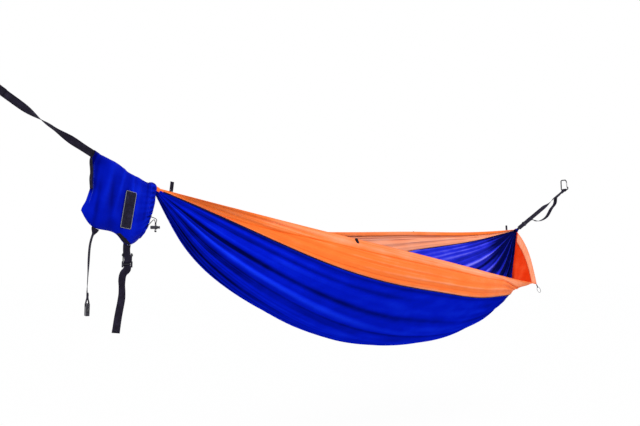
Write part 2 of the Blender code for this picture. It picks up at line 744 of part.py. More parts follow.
def make_gather(end, place, across):
    """The scrunched cloth end in a neck, slotted for its strap, and the wrap round the neck."""
    middle, outward, top = neck_frames()[end]
    name = ("head", "foot")[end]
    side = np.cross(outward, top)
    inner = NECK_RADIUS - CLOTH_THICKNESS / 2 - TOUCH_GAP
    end_at = CORE_LENGTH - CORE_INNER
    profile = [(-CORE_INNER, 0.45), (-CORE_INNER * 0.3, 0.85), (NECK_LENGTH, 1.0), (end_at - CORE_BEVEL, 1.0),
               (end_at, 0.88)]
    count = CORE_FLUTES * 3
    rings = []
    for along, size in profile:
        flute = CORE_FLUTE_DEPTH if along >= NECK_LENGTH else CORE_FLUTE_DEPTH / 2
        for k in range(count):
            turn = math.tau * k / count
            radius = inner * size - flute * (1 + math.cos(CORE_FLUTES * turn)) / 2
            rings.append((radius * math.cos(turn), radius * math.sin(turn), along))
    rows = len(profile)
    faces = [(i * count + k, i * count + (k + 1) % count, (i + 1) * count + (k + 1) % count, (i + 1) * count + k)
             for i in range(rows - 1) for k in range(count)]
    faces += [tuple(reversed(range(count))), tuple(range((rows - 1) * count, rows * count))]
    mesh = bpy.data.meshes.new(name + "_gather_core")
    mesh.from_pydata(rings, [], faces)
    core = add(name + "_gather_core", mesh, "blue cloth", middle, (side, -top, outward))
    half = STRAP_END_WIDTH / 2 + SLOT_PLAY
    thin = WEBBING_THICKNESS / 2 + SLOT_PLAY / 2
    slot = (across, np.cross(outward, across), outward)
    cut(core, box_cutter(name + " slot", (-half, -thin, end_at - SLOT_DEPTH), (half, thin, end_at + 0.01),
                         frame_matrix(middle, slot)))
    low = NECK_RADIUS + CLOTH_THICKNESS / 2 + TOUCH_GAP
    high = low + WRAP_THICKNESS
    top_at = NECK_LENGTH - WRAP_MARGIN
    ring = [(low, WRAP_MARGIN), (low, top_at), (high, top_at), (high, WRAP_MARGIN)]
    turned(name + "_gather_wrap", ring, "black webbing", middle, (side, -top, outward), steps=32, closed=True)


def strap_twist(tangent, reference, degrees):
    """The direction of a strap's width, turned about its length from a reference direction."""
    tangent = unit(tangent)
    flat = unit(reference - tangent * (reference @ tangent))
    turn = math.radians(degrees)
    return flat * math.cos(turn) + np.cross(tangent, flat) * math.sin(turn)


def eye_path(eye, arriving, bar_axis):
    """The loop of a strap round a bar, and its end laid back on the strap to be sewn."""
    up = unit(arriving - bar_axis * (arriving @ bar_axis))
    side = np.cross(up, bar_axis)
    r = BAR_RADIUS + TOUCH_GAP + WEBBING_THICKNESS / 2
    r_wide = r * 1.3
    spots = [(-EYE_LENGTH, 0.0), (-EYE_LENGTH * 0.55, r_wide), (0.0, r_wide)]
    spots += [(r * math.sin(t), r_wide * math.cos(t)) for t in (math.pi / 4, math.pi / 2, 3 * math.pi / 4)]
    spots += [(0.0, -r_wide), (-EYE_LENGTH * 0.55, -r_wide)]
    spots += [(-EYE_LENGTH - EYE_SEAM * f, -EYE_LAYER) for f in (0.0, 0.2, 0.5, 1.0)]
    return [eye + up * a + side * b for a, b in spots]


def make_suspension(name, place, eye, bar_axis, twist, samples):
    """A suspension strap from its gather to its sewn eye."""
    total = np.linalg.norm(eye - place(0.0))
    start = (CORE_LENGTH - CORE_INNER - SLOT_DEPTH + SLOT_PLAY) / total
    last = 1 - EYE_LENGTH / total
    shares = np.linspace(start, last, samples)
    path = [place(s) for s in shares]
    arriving = unit(eye - place(last))
    across = [strap_twist(place(s + 0.01) - place(s - 0.01), bar_axis, eased(s, twist)) for s in shares]
    widening = [(0.0, STRAP_END_WIDTH), (CORE_LENGTH + 0.02, STRAP_END_WIDTH), (0.12, WEBBING_WIDTH)]
    widths = [eased(s * total, widening) for s in shares]
    loop = fine_path(eye_path(eye, arriving, bar_axis), 3)[1:]
    path += list(loop)
    across += [bar_axis] * len(loop)
    widths += [WEBBING_WIDTH] * len(loop)
    webbing(name, path, across, widths)


def foot_across(share):
    """The direction of the foot strap's width at a share of its length."""
    return strap_twist(FOOT_EYE - FOOT_GATHER, Y_AXIS, eased(share, FOOT_STRAP_TWIST))


def make_foot_tail():
    """The slack leg of the foot strap, sewn to the taut one at both ends."""
    along = unit(FOOT_EYE - FOOT_GATHER)
    path, across = [], []
    for shares, fixed in ((TAIL_LOWER, None), (TAIL_UPPER, 0.0)):
        for share in np.linspace(shares[0], shares[1], 7):
            width = foot_across(share)
            normal = np.cross(along, width)
            path.append(foot_strap_place(share) - normal * (LAYER + TOUCH_GAP))
            across.append(width)
        if fixed is None:
            for x, z in TAIL_SAG:
                path.append(FOOT_GATHER + np.array([x, FOOT_STRAP_SIDE * x / FOOT_STRAP_RUN, z]))
                across.append(Y_AXIS)
    fine = fine_path(path, 2)
    stops = np.arange(len(path)) * 2
    widths = np.stack([np.interp(np.arange(len(fine)), stops, [a[k] for a in across]) for k in range(3)], axis=1)
    webbing("foot_strap_tail", fine, widths)


def make_keeper():
    """The moulded keeper round both legs of the foot strap, which slides along them."""
    along = unit(FOOT_EYE - FOOT_GATHER)
    width = foot_across(KEEPER_AT)
    normal = np.cross(along, width)
    middle = foot_strap_place(KEEPER_AT) - normal * LAYER / 2
    inner_x = WEBBING_WIDTH / 2 + TOUCH_GAP * 2
    inner_y = (WEBBING_THICKNESS + LAYER) / 2 + TOUCH_GAP * 2
    outlines = []
    for grow in (KEEPER_WALL, 0.0):
        x, y = inner_x + grow, inner_y + grow
        corners = [(x, y, 0), (-x, y, 0), (-x, -y, 0), (x, -y, 0)]
        outlines.append(rounded_path(corners, 0.0004 + grow * 0.8, steps=2, closed=True))
    flat_outline("strap_keeper", outlines, KEEPER_LENGTH, "black plastic", middle, (width, normal, along))


def make_carabiner(name, corner, across, along):
    """A D-shaped carabiner body with a drilled wire gate; local X runs across it and local Y along it."""
    normal = np.cross(across, along)
    top = SPINE_LENGTH
    pivot = np.array([PIVOT_OUT, top - PIVOT_DROP, 0.0])
    nose = np.array([BASKET_LENGTH - NOSE_LEAN, NOSE_HEIGHT, 0.0])
    down = unit(pivot - np.array([TOP_LENGTH, top, 0.0]))
    corners = [nose, (BASKET_LENGTH, 0.0, 0.0), (0.0, 0.0, 0.0), (0.0, top, 0.0), (TOP_LENGTH, top, 0.0),
               pivot + down * BAR_END]
    path = rounded_path(corners, CORNER_RADIUS, steps=5)
    body = tube(name + "_carabiner", path, BAR_RADIUS, "black metal", corner, (across, along, normal),
                tilt=math.pi / 8)
    body = as_mesh(body)
    matrix = frame_matrix(corner, (across, along, normal)) @ Matrix.Translation(pivot)
    cut(body, round_cutter(name + " gate hole", WIRE_RADIUS + TOUCH_GAP, BAR_RADIUS * 3, matrix))
    lean = unit(np.array([nose[0] - BASKET_LENGTH, nose[1], 0.0]))
    inward = np.array([-lean[1], lean[0], 0.0])
    reach = BAR_RADIUS + TOUCH_GAP + WIRE_RADIUS
    bar = nose - lean * BAR_RADIUS + inward * reach - pivot
    out = np.array([0.0, 0.0, reach])
    tip = np.array([0.0, 0.0, BAR_RADIUS - FOOT_INSET])
    wire = rounded_path([tip, out, bar + out, bar - out, -out, -tip], WIRE_RADIUS * 1.6, steps=3)
    where = corner + across * pivot[0] + along * pivot[1]
    tube(name + "_gate", wire, WIRE_RADIUS, "grey steel", where, (across, along, normal), flat=False)


def sack_place(share):
    """The top and bottom of the sack, and the radii of its section, at a share of its length from the base."""
    top, bottom = (natural_spline([HEAD_GATHER + np.array([x, 0.0, z]) for x, z in line])
                   for line in (SACK_TOP, SACK_BOTTOM))
    high = on_spline(top, share * top[1][-1])[0]
    low = on_spline(bottom, share * bottom[1][-1])[0]
    radius = eased(share, [(0.0, SACK_TOP_RADIUS), (0.6, SACK_TOP_RADIUS), (1.0, SACK_MOUTH_RADIUS)])
    belly = eased(share, [(0.0, SACK_BASE_THIN), (0.30, SACK_BELLY), (0.85, SACK_BELLY), (1.0, SACK_MOUTH_BELLY)])
    return high, low, radius, belly


def sack_bow(share, down):
    """How far the sack's section leans along X at a share of its depth, near its base and near its mouth."""
    base = eased(down, SACK_BASE_BOW) * eased(share, [(0.0, 1.0), (SACK_BOW_REACH, 0.0)])
    mouth = eased(down, SACK_MOUTH_BOW) * eased(share, [(1 - SACK_BOW_REACH, 0.0), (1.0, 1.0)])
    return X_AXIS * (base + mouth)


def sack_ring(share):
    """The sack's section at a share of its length: from its top down the near side, round and up the far side."""
    high, low, radius, belly = sack_place(share)
    depth = np.linalg.norm(low - high)
    down = (low - high) / depth
    half = [(radius * (1 - math.cos(t)), radius * math.sin(t)) for t in (0.0, math.pi / 6, math.pi / 3, math.pi / 2)]
    run = depth - radius - SACK_TAPER
    for f in (0.14, 0.40, 0.70, 1.0):
        half.append((radius + run * f, radius + (belly - radius) * eased(f, [(0.0, 0.0), (0.14, 1.0)])))
    half.append((depth - SACK_KEEL, belly * SACK_KEEL_SHARE))
    near = [high + down * h + sack_bow(share, h / depth) - Y_AXIS * y for h, y in half]
    far = [high + down * h + sack_bow(share, h / depth) + Y_AXIS * y for h, y in half[1:]]
    return near + [low] + list(reversed(far))


def sack_normals(share):
    """The outward directions of the sack's ring."""
    ring = np.array(sack_ring(share))
    before = np.array(sack_ring(max(share - 0.02, 0.0)))
    after = np.array(sack_ring(min(share + 0.02, 1.0)))
    round_it = np.roll(ring, -1, axis=0) - np.roll(ring, 1, axis=0)
    normal = np.cross(round_it, after - before)
    return normal / np.linalg.norm(normal, axis=1, keepdims=True)


def make_sack():
    """The stuff sack: a flat sleeve round the head strap, sewn shut below the strap at its base."""
    shares = list(np.linspace(0, HEM_START, SACK_CELLS)) + [(HEM_START + 1) / 2, 1.0]
    rows = [sack_ring(share) for share in shares]
    n = len(rows[0])
    closed = [row + [row[0]] for row in rows]
    seam = [(k, n - k, n - k - 1, k + 1) for k in range(SACK_SEAM_START, n // 2)]
    obj = sheet("stuff_sack", closed, SACK_WALL, "blue cloth", extra_faces=seam)
    joined = bmesh.new()
    joined.from_mesh(obj.data)
    bmesh.ops.remove_doubles(joined, verts=joined.verts, dist=0.00001)
    bmesh.ops.recalc_face_normals(joined, faces=joined.faces)
    joined.to_mesh(obj.data)
    joined.free()


def mouth_order():
    """The ring's points in the order that the mouth hem runs: it starts and ends where the drawstring leaves."""
    n = len(sack_ring(1.0))
    return [(DRAWSTRING_EXIT - k) % n for k in range(n)]


def make_mouth_hem():
    """The drawstring channel: a second layer round the mouth, open where the cord comes out."""
    order = mouth_order()
    rows = []
    for index in order:
        row = []
        for f, lift in ((0.0, HEM_EDGE), (0.25, 0.7 * HEM_BULGE), (0.5, HEM_BULGE), (0.75, 0.7 * HEM_BULGE),
                        (1.0, HEM_EDGE)):
            share = HEM_START + (1 - HEM_START) * f
            row.append(np.array(sack_ring(share)[index]) + sack_normals(share)[index] * lift)
        rows.append(row)
    sheet("sack_mouth_hem", rows, HEM_WALL, "blue cloth")
    middle = (HEM_START + 1) / 2
    lift = SACK_WALL / 2 + TOUCH_GAP + CORD_RADIUS
    ring, normals = sack_ring(middle), sack_normals(middle)
    route = [np.array(ring[i]) + normals[i] * lift for i in order]
    run = []
    for a, b in zip(route, route[1:]):
        run += [a, (a + b) / 2]
    run.append(route[-1])
    tube("drawstring_run", run, CORD_RADIUS, "black webbing", flat=False)
    return run[0], run[1], run[-1], run[-2]


def lock_frame():
    """The cord lock's middle on the strands, and its press, across and down directions."""
    turn = math.radians(LOCK_YAW)
    press = np.array([math.cos(turn), math.sin(turn), 0.0])
    return HEAD_GATHER + np.array(LOCK_AT), press, np.cross(Z_AXIS, press), Z_AXIS


def make_strands(upper, upper_before, lower, lower_before):
    """The two free strands of the drawstring, from the hem's ends through the cord lock to the knot."""
    middle, press, _, _ = lock_frame()
    knot_top = middle - Z_AXIS * (BARREL_RADIUS + KNOT_DROP)
    high, middling, low = STRAND_ABOVE_LOCK
    for name, start, before, side, bulge in (
            ("drawstring_front", lower, lower_before, -1, STRAND_BULGES[0]),
            ("drawstring_back", upper, upper_before, 1, STRAND_BULGES[1])):
        leaving = unit(start - before)
        foot = middle + press * side * STRAND_SPACING / 2
        first = start + leaving * CORD_GAP
        second = first + leaving * STRAND_STRAIGHT
        third = first + leaving * STRAND_OUT[0] - Y_AXIS * STRAND_OUT[1]
        points = [first, second, third, foot + Z_AXIS * high + X_AXIS * bulge, foot + Z_AXIS * middling,
                  foot + Z_AXIS * low, foot, knot_top + press * side * STRAND_SPACING / 2]
        tube(name, smooth_path(points, 18), CORD_RADIUS, "black webbing", flat=False)
    tall = KNOT_RADIUS * 2
    profile = [(0.0, tall), (KNOT_RADIUS * 0.9, tall * 0.93), (KNOT_RADIUS, tall * 0.6),
               (KNOT_RADIUS * 0.72, tall * 0.5), (KNOT_RADIUS * 0.95, tall * 0.35), (KNOT_RADIUS * 0.6, tall * 0.05),
               (0.0, 0.0)]
    turned("drawstring_knot", profile, "black webbing", knot_top - Z_AXIS * (tall + TOUCH_GAP), None, steps=12)


def make_cord_lock():
    """A barrel cord lock: barrel, sprung plunger and spring, pierced for the two strands."""
    middle, press, side, _ = lock_frame()
    axes = (side, -Z_AXIS, press)
    bore = PLUNGER_RADIUS + TOUCH_GAP
    chamfer = BARREL_RADIUS * 0.12
    floor = -BARREL_BACK + BARREL_FLOOR
    barrel = turned("cord_lock_barrel", [
        (0.0, floor), (bore, floor), (bore, BARREL_FRONT), (BARREL_RADIUS - chamfer, BARREL_FRONT),
        (BARREL_RADIUS, BARREL_FRONT - chamfer), (BARREL_RADIUS, -BARREL_BACK + chamfer),
        (BARREL_RADIUS - chamfer, -BARREL_BACK), (0.0, -BARREL_BACK)], "black plastic", middle, axes, steps=20)
    neck = BARREL_FRONT + PRESS_TRAVEL + TOUCH_GAP * 2
    hollow = SPRING_RADIUS + SPRING_WIRE + TOUCH_GAP
    plunger = turned("cord_lock_plunger", [
        (0.0, neck + PLUNGER_HEAD), (PLUNGER_HEAD_RADIUS * 0.8, neck + PLUNGER_HEAD),
        (PLUNGER_HEAD_RADIUS, neck + PLUNGER_HEAD * 0.7), (PLUNGER_HEAD_RADIUS, neck), (PLUNGER_RADIUS, neck),
        (PLUNGER_RADIUS, -PLUNGER_BACK), (hollow, -PLUNGER_BACK), (hollow, PLUNGER_HOLLOW - PLUNGER_BACK),
        (0.0, PLUNGER_HOLLOW - PLUNGER_BACK)], "black plastic", middle, axes, steps=20)
    reach = STRAND_SPACING / 2 + CORD_RADIUS + TOUCH_GAP
    thin = CORD_RADIUS + TOUCH_GAP
    matrix = frame_matrix(middle, axes)
    cut(barrel, box_cutter("barrel slot", (-thin, -0.01, -reach), (thin, 0.01, reach), matrix))
    cut(plunger, box_cutter("plunger slot", (-thin, -0.01, -reach), (thin, 0.01, reach + PRESS_TRAVEL), matrix))
    low = floor + TOUCH_GAP + SPRING_WIRE
    high = PLUNGER_HOLLOW - PLUNGER_BACK - PRESS_TRAVEL - TOUCH_GAP - SPRING_WIRE
    count = SPRING_TURNS * 9
    coil = []
    for k in range(count + 1):
        turn = math.tau * SPRING_TURNS * k / count
        coil.append((SPRING_RADIUS * math.cos(turn), SPRING_RADIUS * math.sin(turn), low + (high - low) * k / count))
    tube("cord_lock_spring", coil, SPRING_WIRE, "grey steel", middle, axes, resolution=1, flat=False)


def make_sack_trim():
    """The binding on the sack's base seam and the bare label patch on its near wall."""
    ring = sack_ring(0.0)
    n = len(ring)
    half = SACK_BASE_THIN + SACK_WALL / 2 + TOUCH_GAP + BINDING_WALL / 2
    reach = SACK_WALL / 2 + TOUCH_GAP * 3 + BINDING_WALL / 2
    rows = []
    for k in BINDING_POINTS:
        middle = (np.array(ring[k]) + np.array(ring[n - k])) / 2
        inward = unit((np.array(sack_ring(0.05)[k]) - ring[k]) * np.array([1.0, 0.0, 1.0]))
        rows.append([middle + inward * BINDING_WIDTH - Y_AXIS * (half + BINDING_SWELL), middle - Y_AXIS * half,
                     middle - inward * reach - Y_AXIS * half * 0.8, middle - inward * reach + Y_AXIS * half * 0.8,
                     middle + Y_AXIS * half, middle + inward * BINDING_WIDTH + Y_AXIS * (half + BINDING_SWELL)])
    sheet("sack_base_binding", rows, BINDING_WALL, "black webbing")
    turn = math.radians(PATCH_TILT)
    up = np.array([math.sin(turn), 0.0, math.cos(turn)])
    wide = np.array([math.cos(turn), 0.0, -math.sin(turn)])
    out = SACK_BELLY + SACK_WALL / 2 + TOUCH_GAP + PATCH_THICKNESS / 2
    middle = HEAD_GATHER + np.array([PATCH_AT[0], -out, PATCH_AT[1]])
    x, y = PATCH_WIDTH / 2, PATCH_HEIGHT / 2
    outline = rounded_path([(x, y, 0), (-x, y, 0), (-x, -y, 0), (x, -y, 0)], PATCH_CORNER, steps=3, closed=True)
    flat_outline("label_patch", [outline], PATCH_THICKNESS, "label", middle, (wide, up, np.cross(wide, up)))


def sack_edge(x):
    """A place on the sack's bottom outline at a distance along X from the gather, and its direction there."""
    line = natural_spline([HEAD_GATHER + np.array([a, 0.0, z]) for a, z in SACK_BOTTOM])
    places = on_spline(line, np.linspace(0, line[1][-1], 400))
    i = int(np.argmin(abs(places[:, 0] - HEAD_GATHER[0] - x)))
    return places[i], unit(places[i + 1] - places[i - 1])


def make_closure_strap():
    """The wide closure strap, sewn to the sack and woven through the male buckle."""
    edge, slant = sack_edge(CLOSURE_TOP)
    below = np.cross(slant, Y_AXIS)
    below = below if below[2] < 0 else -below
    top = edge + below * (SACK_WALL / 2 + CLOSURE_DROP)
    flat = HEAD_GATHER
    body = 2 * BUCKLE_RAIL + 2 * BUCKLE_SLOT + BUCKLE_BAR
    depth = BUCKLE_THICKNESS / 2 + WEBBING_THICKNESS / 2 + TOUCH_GAP * 2
    x, z = BUCKLE_AT
    slot_1 = BUCKLE_RAIL + BUCKLE_SLOT / 2
    bar = body / 2
    slot_2 = body - slot_1
    weave = [(0.0, 0.004), (0.0, -0.0003), (depth * 0.07, -slot_1 + 0.0031), (depth, -slot_1),
             (depth * 1.93, -slot_1 - 0.0033), (depth * 2, -bar), (depth * 1.93, -slot_2 + 0.0033), (depth, -slot_2),
             (depth * 0.07, -slot_2 - 0.0031), (0.0, -body + 0.0003), (0.0, -body - 0.004)]
    points = [top] + [flat + np.array([a, 0.0, b]) for a, b in CLOSURE_UPPER]
    points += [flat + np.array([x, y, z + down]) for y, down in weave]
    points += [flat + np.array([a, 0.0, b]) for a, b in CLOSURE_LOWER]
    path = fine_path(points, 2)
    across = []
    for p in path:
        drop = top[2] - p[2]
        share = eased(drop, [(0.0, 0.0), (0.035, 1.0)])
        across.append(unit(slant * (1 - share) + X_AXIS * share))
    webbing("closure_strap", path, across, origin=top)
    return top, slant


def make_male_buckle():
    """The male half of the side-release buckle: ladder body with its guide, and two sprung arms."""
    x, z = BUCKLE_AT
    depth = BUCKLE_THICKNESS / 2 + WEBBING_THICKNESS / 2 + TOUCH_GAP * 2
    middle = HEAD_GATHER + np.array([x, depth, z])
    half = BUCKLE_WIDTH / 2
    body = 2 * BUCKLE_RAIL + 2 * BUCKLE_SLOT + BUCKLE_BAR
    guide = 0.0022
    edge = [(half - 0.002, 0, 0), (guide, 0, 0), (guide * 0.8, BUCKLE_GUIDE, 0), (-guide * 0.8, BUCKLE_GUIDE, 0),
            (-guide, 0, 0), (-half + 0.002, 0, 0), (-half, -0.003, 0), (-half, -body, 0), (half, -body, 0),
            (half, -0.003, 0)]
    slot_half = WEBBING_WIDTH / 2 + TOUCH_GAP * 2
    holes = []
    for top in (-BUCKLE_RAIL, -BUCKLE_RAIL - BUCKLE_SLOT - BUCKLE_BAR):
        low = top - BUCKLE_SLOT
        holes.append([(slot_half, top, 0), (-slot_half, top, 0), (-slot_half, low, 0), (slot_half, low, 0)])
    axes = (X_AXIS, Z_AXIS, -Y_AXIS)
    flat_outline("buckle_male", [edge] + holes, BUCKLE_THICKNESS, "black plastic", middle, axes)
    w = ARM_WIDTH / 2
    for name, side in (("buckle_arm_left", -1), ("buckle_arm_right", 1)):
        outline = [(-w, HINGE_GAP), (w, HINGE_GAP), (w * 0.9, ARM_LENGTH * 0.55), (w + ARM_BARB, ARM_LENGTH * 0.60),
                   (w + ARM_BARB, ARM_LENGTH * 0.80), (w * 0.6, ARM_LENGTH), (-w * 0.6, ARM_LENGTH),
                   (-w * 0.7, ARM_LENGTH * 0.5)]
        outline = [(side * a, b, 0) for a, b in outline]
        root = middle + X_AXIS * side * ARM_AT
        flat_outline(name, [outline], BUCKLE_THICKNESS * 0.92, "black plastic", root, axes)


def female_directions():
    """The female buckle's outward and sideways directions."""
    turn = math.radians(ANCHOR_TURNS[-1][1])
    out = X_AXIS * math.cos(turn) + Y_AXIS * math.sin(turn)
    return out, np.cross(out, Z_AXIS)


def make_anchor_strap():
    """The narrow-seen strap on the sack's lower corner, looped round the female buckle's bar."""
    edge, slant = sack_edge(ANCHOR_TOP)
    below = np.cross(slant, Y_AXIS)
    below = below if below[2] < 0 else -below
    top = edge + below * (SACK_WALL / 2 + ANCHOR_DROP)
    r = FEMALE_BAR / math.sqrt(2) + TOUCH_GAP + WEBBING_THICKNESS / 2
    x, z = FEMALE_AT
    out, _ = female_directions()
    path = [top] + [HEAD_GATHER + np.array([a, 0.0, b]) for a, b in ANCHOR_PATH]
    loop = [(-LAYER * 0.8, 0.026), (-LAYER * 0.8, 0.018), (-r, 0.006)]
    loop += [(-r * math.cos(t), -r * math.sin(t)) for t in (0.0, math.pi / 4, math.pi / 2, 3 * math.pi / 4, math.pi)]
    loop += [(r, 0.006), (LAYER * 0.6, 0.018), (LAYER * 0.5, 0.026), (LAYER * 0.5, 0.034)]
    path += [HEAD_GATHER + np.array([x, 0.0, z + b]) + out * a for a, b in loop]
    fine = fine_path(path, 2)
    across = []
    for p in fine:
        drop = top[2] - p[2]
        share = eased(drop, [(0.0, 0.0), (ANCHOR_TURNS[0][0], 1.0)])
        turn = math.radians(eased(drop, ANCHOR_TURNS))
        hanging = Y_AXIS * math.cos(turn) - X_AXIS * math.sin(turn)
        across.append(unit(slant * (1 - share) + hanging * share))
    webbing("anchor_strap", fine, across, origin=top)
    return top, slant


def make_female_buckle():
    """The female half: a hollow housing with side windows, a strap slot and a thin bar."""
    x, z = FEMALE_AT
    middle = HEAD_GATHER + np.array([x, 0.0, z])
    out, sideways = female_directions()
    axes = (sideways, Z_AXIS, out)
    half = BUCKLE_WIDTH / 2
    slot_half = WEBBING_WIDTH / 2 + TOUCH_GAP * 2
    bar = FEMALE_BAR / 2
    low = -bar - FEMALE_SLOT - FEMALE_BODY
    edge = rounded_path([(half, bar, 0), (-half, bar, 0), (-half + 0.001, low, 0), (half - 0.001, low, 0)], 0.0018,
                        steps=2, closed=True)
    slot = [(slot_half, -bar, 0), (-slot_half, -bar, 0), (-slot_half, -bar - FEMALE_SLOT, 0),
            (slot_half, -bar - FEMALE_SLOT, 0)]
    body = as_mesh(flat_outline("buckle_female", [edge, slot], FEMALE_THICKNESS, "black plastic", middle, axes))
    matrix = frame_matrix(middle, axes)
    far = FEMALE_THICKNESS
    for name, near_z, far_z in (("bar front", bar, far), ("bar back", -far, -bar)):
        cut(body, box_cutter(name, (-slot_half, -bar - 0.0005, near_z), (slot_half, bar + 0.001, far_z), matrix))
    roof = -bar - FEMALE_SLOT - FEMALE_WALL
    inner = half - FEMALE_WALL - 0.001
    hollow = FEMALE_THICKNESS / 2 - FEMALE_WALL
    cut(body, box_cutter("socket", (-inner, low - 0.001, -hollow), (inner, roof, hollow), matrix))
    high = WINDOW_HEIGHT / 2
    top = roof - 0.003
    cut(body, box_cutter("windows", (-half * 1.2, top - WINDOW_LENGTH, -high), (half * 1.2, top, high), matrix))
    return middle


def edge_place(line, shares, share):
    """A place on a cloth edge between its rows, and the edge's direction there."""
    i = max(k for k in range(len(shares) - 1) if shares[k] <= share)
    f = (share - shares[i]) / (shares[i + 1] - shares[i])
    return line[i] + (line[i + 1] - line[i]) * f, unit(line[i + 1] - line[i])


def make_loop(name, line, shares, spec):
    """A short loop of webbing sewn to a cloth edge, folded flat and standing up from it."""
    share, height, lean = spec
    place, direction = edge_place(line, shares, share)
    up = unit(Z_AXIS - direction * direction[2])
    tip = unit(up + direction * lean)
    side = np.cross(direction, up)
    base = place + up * (CLOTH_THICKNESS / 2 + TOUCH_GAP + 0.0002)
    r = LOOP_BEND
    spots = [(0.0, r * 0.9), (0.3, r), (0.8, r), (0.95, r * 0.7), (1.0, 0.0), (0.95, -r * 0.7), (0.8, -r), (0.3, -r),
             (0.0, -r * 0.9)]
    path = [base + tip * height * a + side * b for a, b in spots]
    webbing(name, path, [direction] * len(path), LOOP_WIDTH)


def make_corner(corner):
    """The webbing tab at the free foot corner and the thin ring that hangs in it."""
    lateral = unit(np.array([0.693, -0.721, 0.0]))
    start = corner - Z_AXIS * (CLOTH_THICKNESS / 2 + TOUCH_GAP)
    turn = math.radians(RING_SLANT)
    down = -Z_AXIS * math.cos(turn) + lateral * math.sin(turn)
    out = np.cross(lateral, Z_AXIS)
    wide = np.cross(down, out)
    r = RING_WIRE + TAB_PLAY + WEBBING_THICKNESS / 2
    pivot = start + down * TAB_LENGTH
    spots = [(-TAB_LENGTH, r * 0.5), (-TAB_LENGTH * 0.4, r * 0.8), (0.0, r), (r * 0.7, r * 0.7), (r, 0.0),
             (r * 0.7, -r * 0.7), (0.0, -r), (-TAB_LENGTH * 0.4, -r * 0.8), (-TAB_LENGTH * 0.9, -r * 0.5)]
    path = [pivot + down * a + out * b for a, b in spots]
    webbing("corner_tab", path, [wide] * len(path), TAB_WIDTH)
    half, long = RING_WIDTH / 2, RING_LENGTH / 2
    path = []
    for k in range(24):
        t = math.tau * k / 24
        path.append((half * math.sin(t), -long + long * math.cos(t), 0.0))
    tube("corner_ring", path, RING_WIRE, "grey steel", pivot, (wide, -down, np.cross(wide, -down)), closed=True)
    return pivot, wide


def main():
    """Build every piece and print the places that the mounts and joints use."""
    new_scene()
    near_edge, far_edge, shares = make_bed()
    _, head_across, _ = head_carabiner_frame()
    arriving = head_eye() - head_strap_place(0.9)
    head_slot = strap_twist(arriving, head_across, HEAD_STRAP_TWIST[0][1])
    make_gather(0, HEAD_GATHER, strap_twist(neck_frames()[0][1], head_slot, 0.0))
    make_gather(1, FOOT_GATHER, foot_across(0.0))
    make_suspension("head_strap", head_strap_place, head_eye(), head_across, HEAD_STRAP_TWIST, 26)
    make_suspension("foot_strap", foot_strap_place, FOOT_EYE, Y_AXIS, FOOT_STRAP_TWIST, 18)
    make_foot_tail()
    make_keeper()
    make_carabiner("head", *head_carabiner_frame())
    make_carabiner("foot", *foot_carabiner_frame())
    make_sack()
    upper, upper_before, lower, lower_before = make_mouth_hem()
    make_strands(upper, upper_before, lower, lower_before)
    make_cord_lock()
    make_sack_trim()
    closure, closure_axis = make_closure_strap()
    make_male_buckle()
    anchor, anchor_axis = make_anchor_strap()
    female = make_female_buckle()
    make_loop("tie_loop_near_head", near_edge, shares, NEAR_HEAD_LOOP)
    make_loop("tie_loop_near_mid", near_edge, shares, NEAR_MID_LOOP)
    make_loop("tie_loop_far_mid", far_edge, shares, FAR_MID_LOOP)
    make_loop("tie_loop_far_foot", far_edge, shares, FAR_FOOT_LOOP)
    ring, ring_axis = make_corner(near_edge[-1])
    for label, value in (("closure hinge", closure), ("closure axis", closure_axis), ("anchor hinge", anchor),
                         ("anchor axis", anchor_axis), ("female hinge", female), ("ring hinge", ring),
                         ("ring axis", ring_axis), ("foot eye", FOOT_EYE)):
        print(label, [round(float(v), 5) for v in value])


main()
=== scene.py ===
# %% [markdown]
# # A camping hammock, with its stuff sack left on the head strap
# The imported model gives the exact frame: what carries load, what moves and how big it all is. This lesson
# dresses it. Cloth, webbing and cord are rebuilt here with far more points than the frame has, and the hard
# parts keep their shapes and get a proper finish.

# %% Load the frame
import math

import bmesh
import bpy
import numpy as np
from mathutils import Matrix


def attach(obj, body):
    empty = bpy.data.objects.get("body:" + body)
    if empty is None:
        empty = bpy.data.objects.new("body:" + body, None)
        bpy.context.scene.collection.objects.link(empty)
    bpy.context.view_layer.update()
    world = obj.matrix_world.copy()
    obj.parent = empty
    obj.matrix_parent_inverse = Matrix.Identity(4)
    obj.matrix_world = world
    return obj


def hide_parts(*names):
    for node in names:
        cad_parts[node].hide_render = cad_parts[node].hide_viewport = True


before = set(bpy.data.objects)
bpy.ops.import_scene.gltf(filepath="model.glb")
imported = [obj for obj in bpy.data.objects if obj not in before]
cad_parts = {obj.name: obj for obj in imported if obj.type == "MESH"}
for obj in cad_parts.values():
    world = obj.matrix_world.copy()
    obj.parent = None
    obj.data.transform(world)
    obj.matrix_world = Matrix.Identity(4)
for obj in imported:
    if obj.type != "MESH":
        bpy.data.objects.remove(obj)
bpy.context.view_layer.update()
BED = "bed_and_suspension"

# %% [markdown]
# ## Where the hammock hangs
# The origin is the head anchor, and both gathers hang at one height. Every place could be given from the
# origin. But the bed and the sack both start at the head gather, so they are measured from there.

# %% The main places
X_AXIS, Y_AXIS, Z_AXIS = np.eye(3)
HEAD_GATHER = np.array([0.63, 0.0, -0.3])
GATHER_SPAN = 2.594
FOOT_GATHER = HEAD_GATHER + X_AXIS * GATHER_SPAN
FOOT_EYE = FOOT_GATHER + np.array([0.791, -0.018, 0.35])
TOUCH_GAP = 0.0003


def from_gather(x, z, y=0.0):
    """A place measured from the head gather: along the hammock, up, and across it."""
    return HEAD_GATHER + np.array([x, y, z])


print("span between the gathers", GATHER_SPAN, "m")

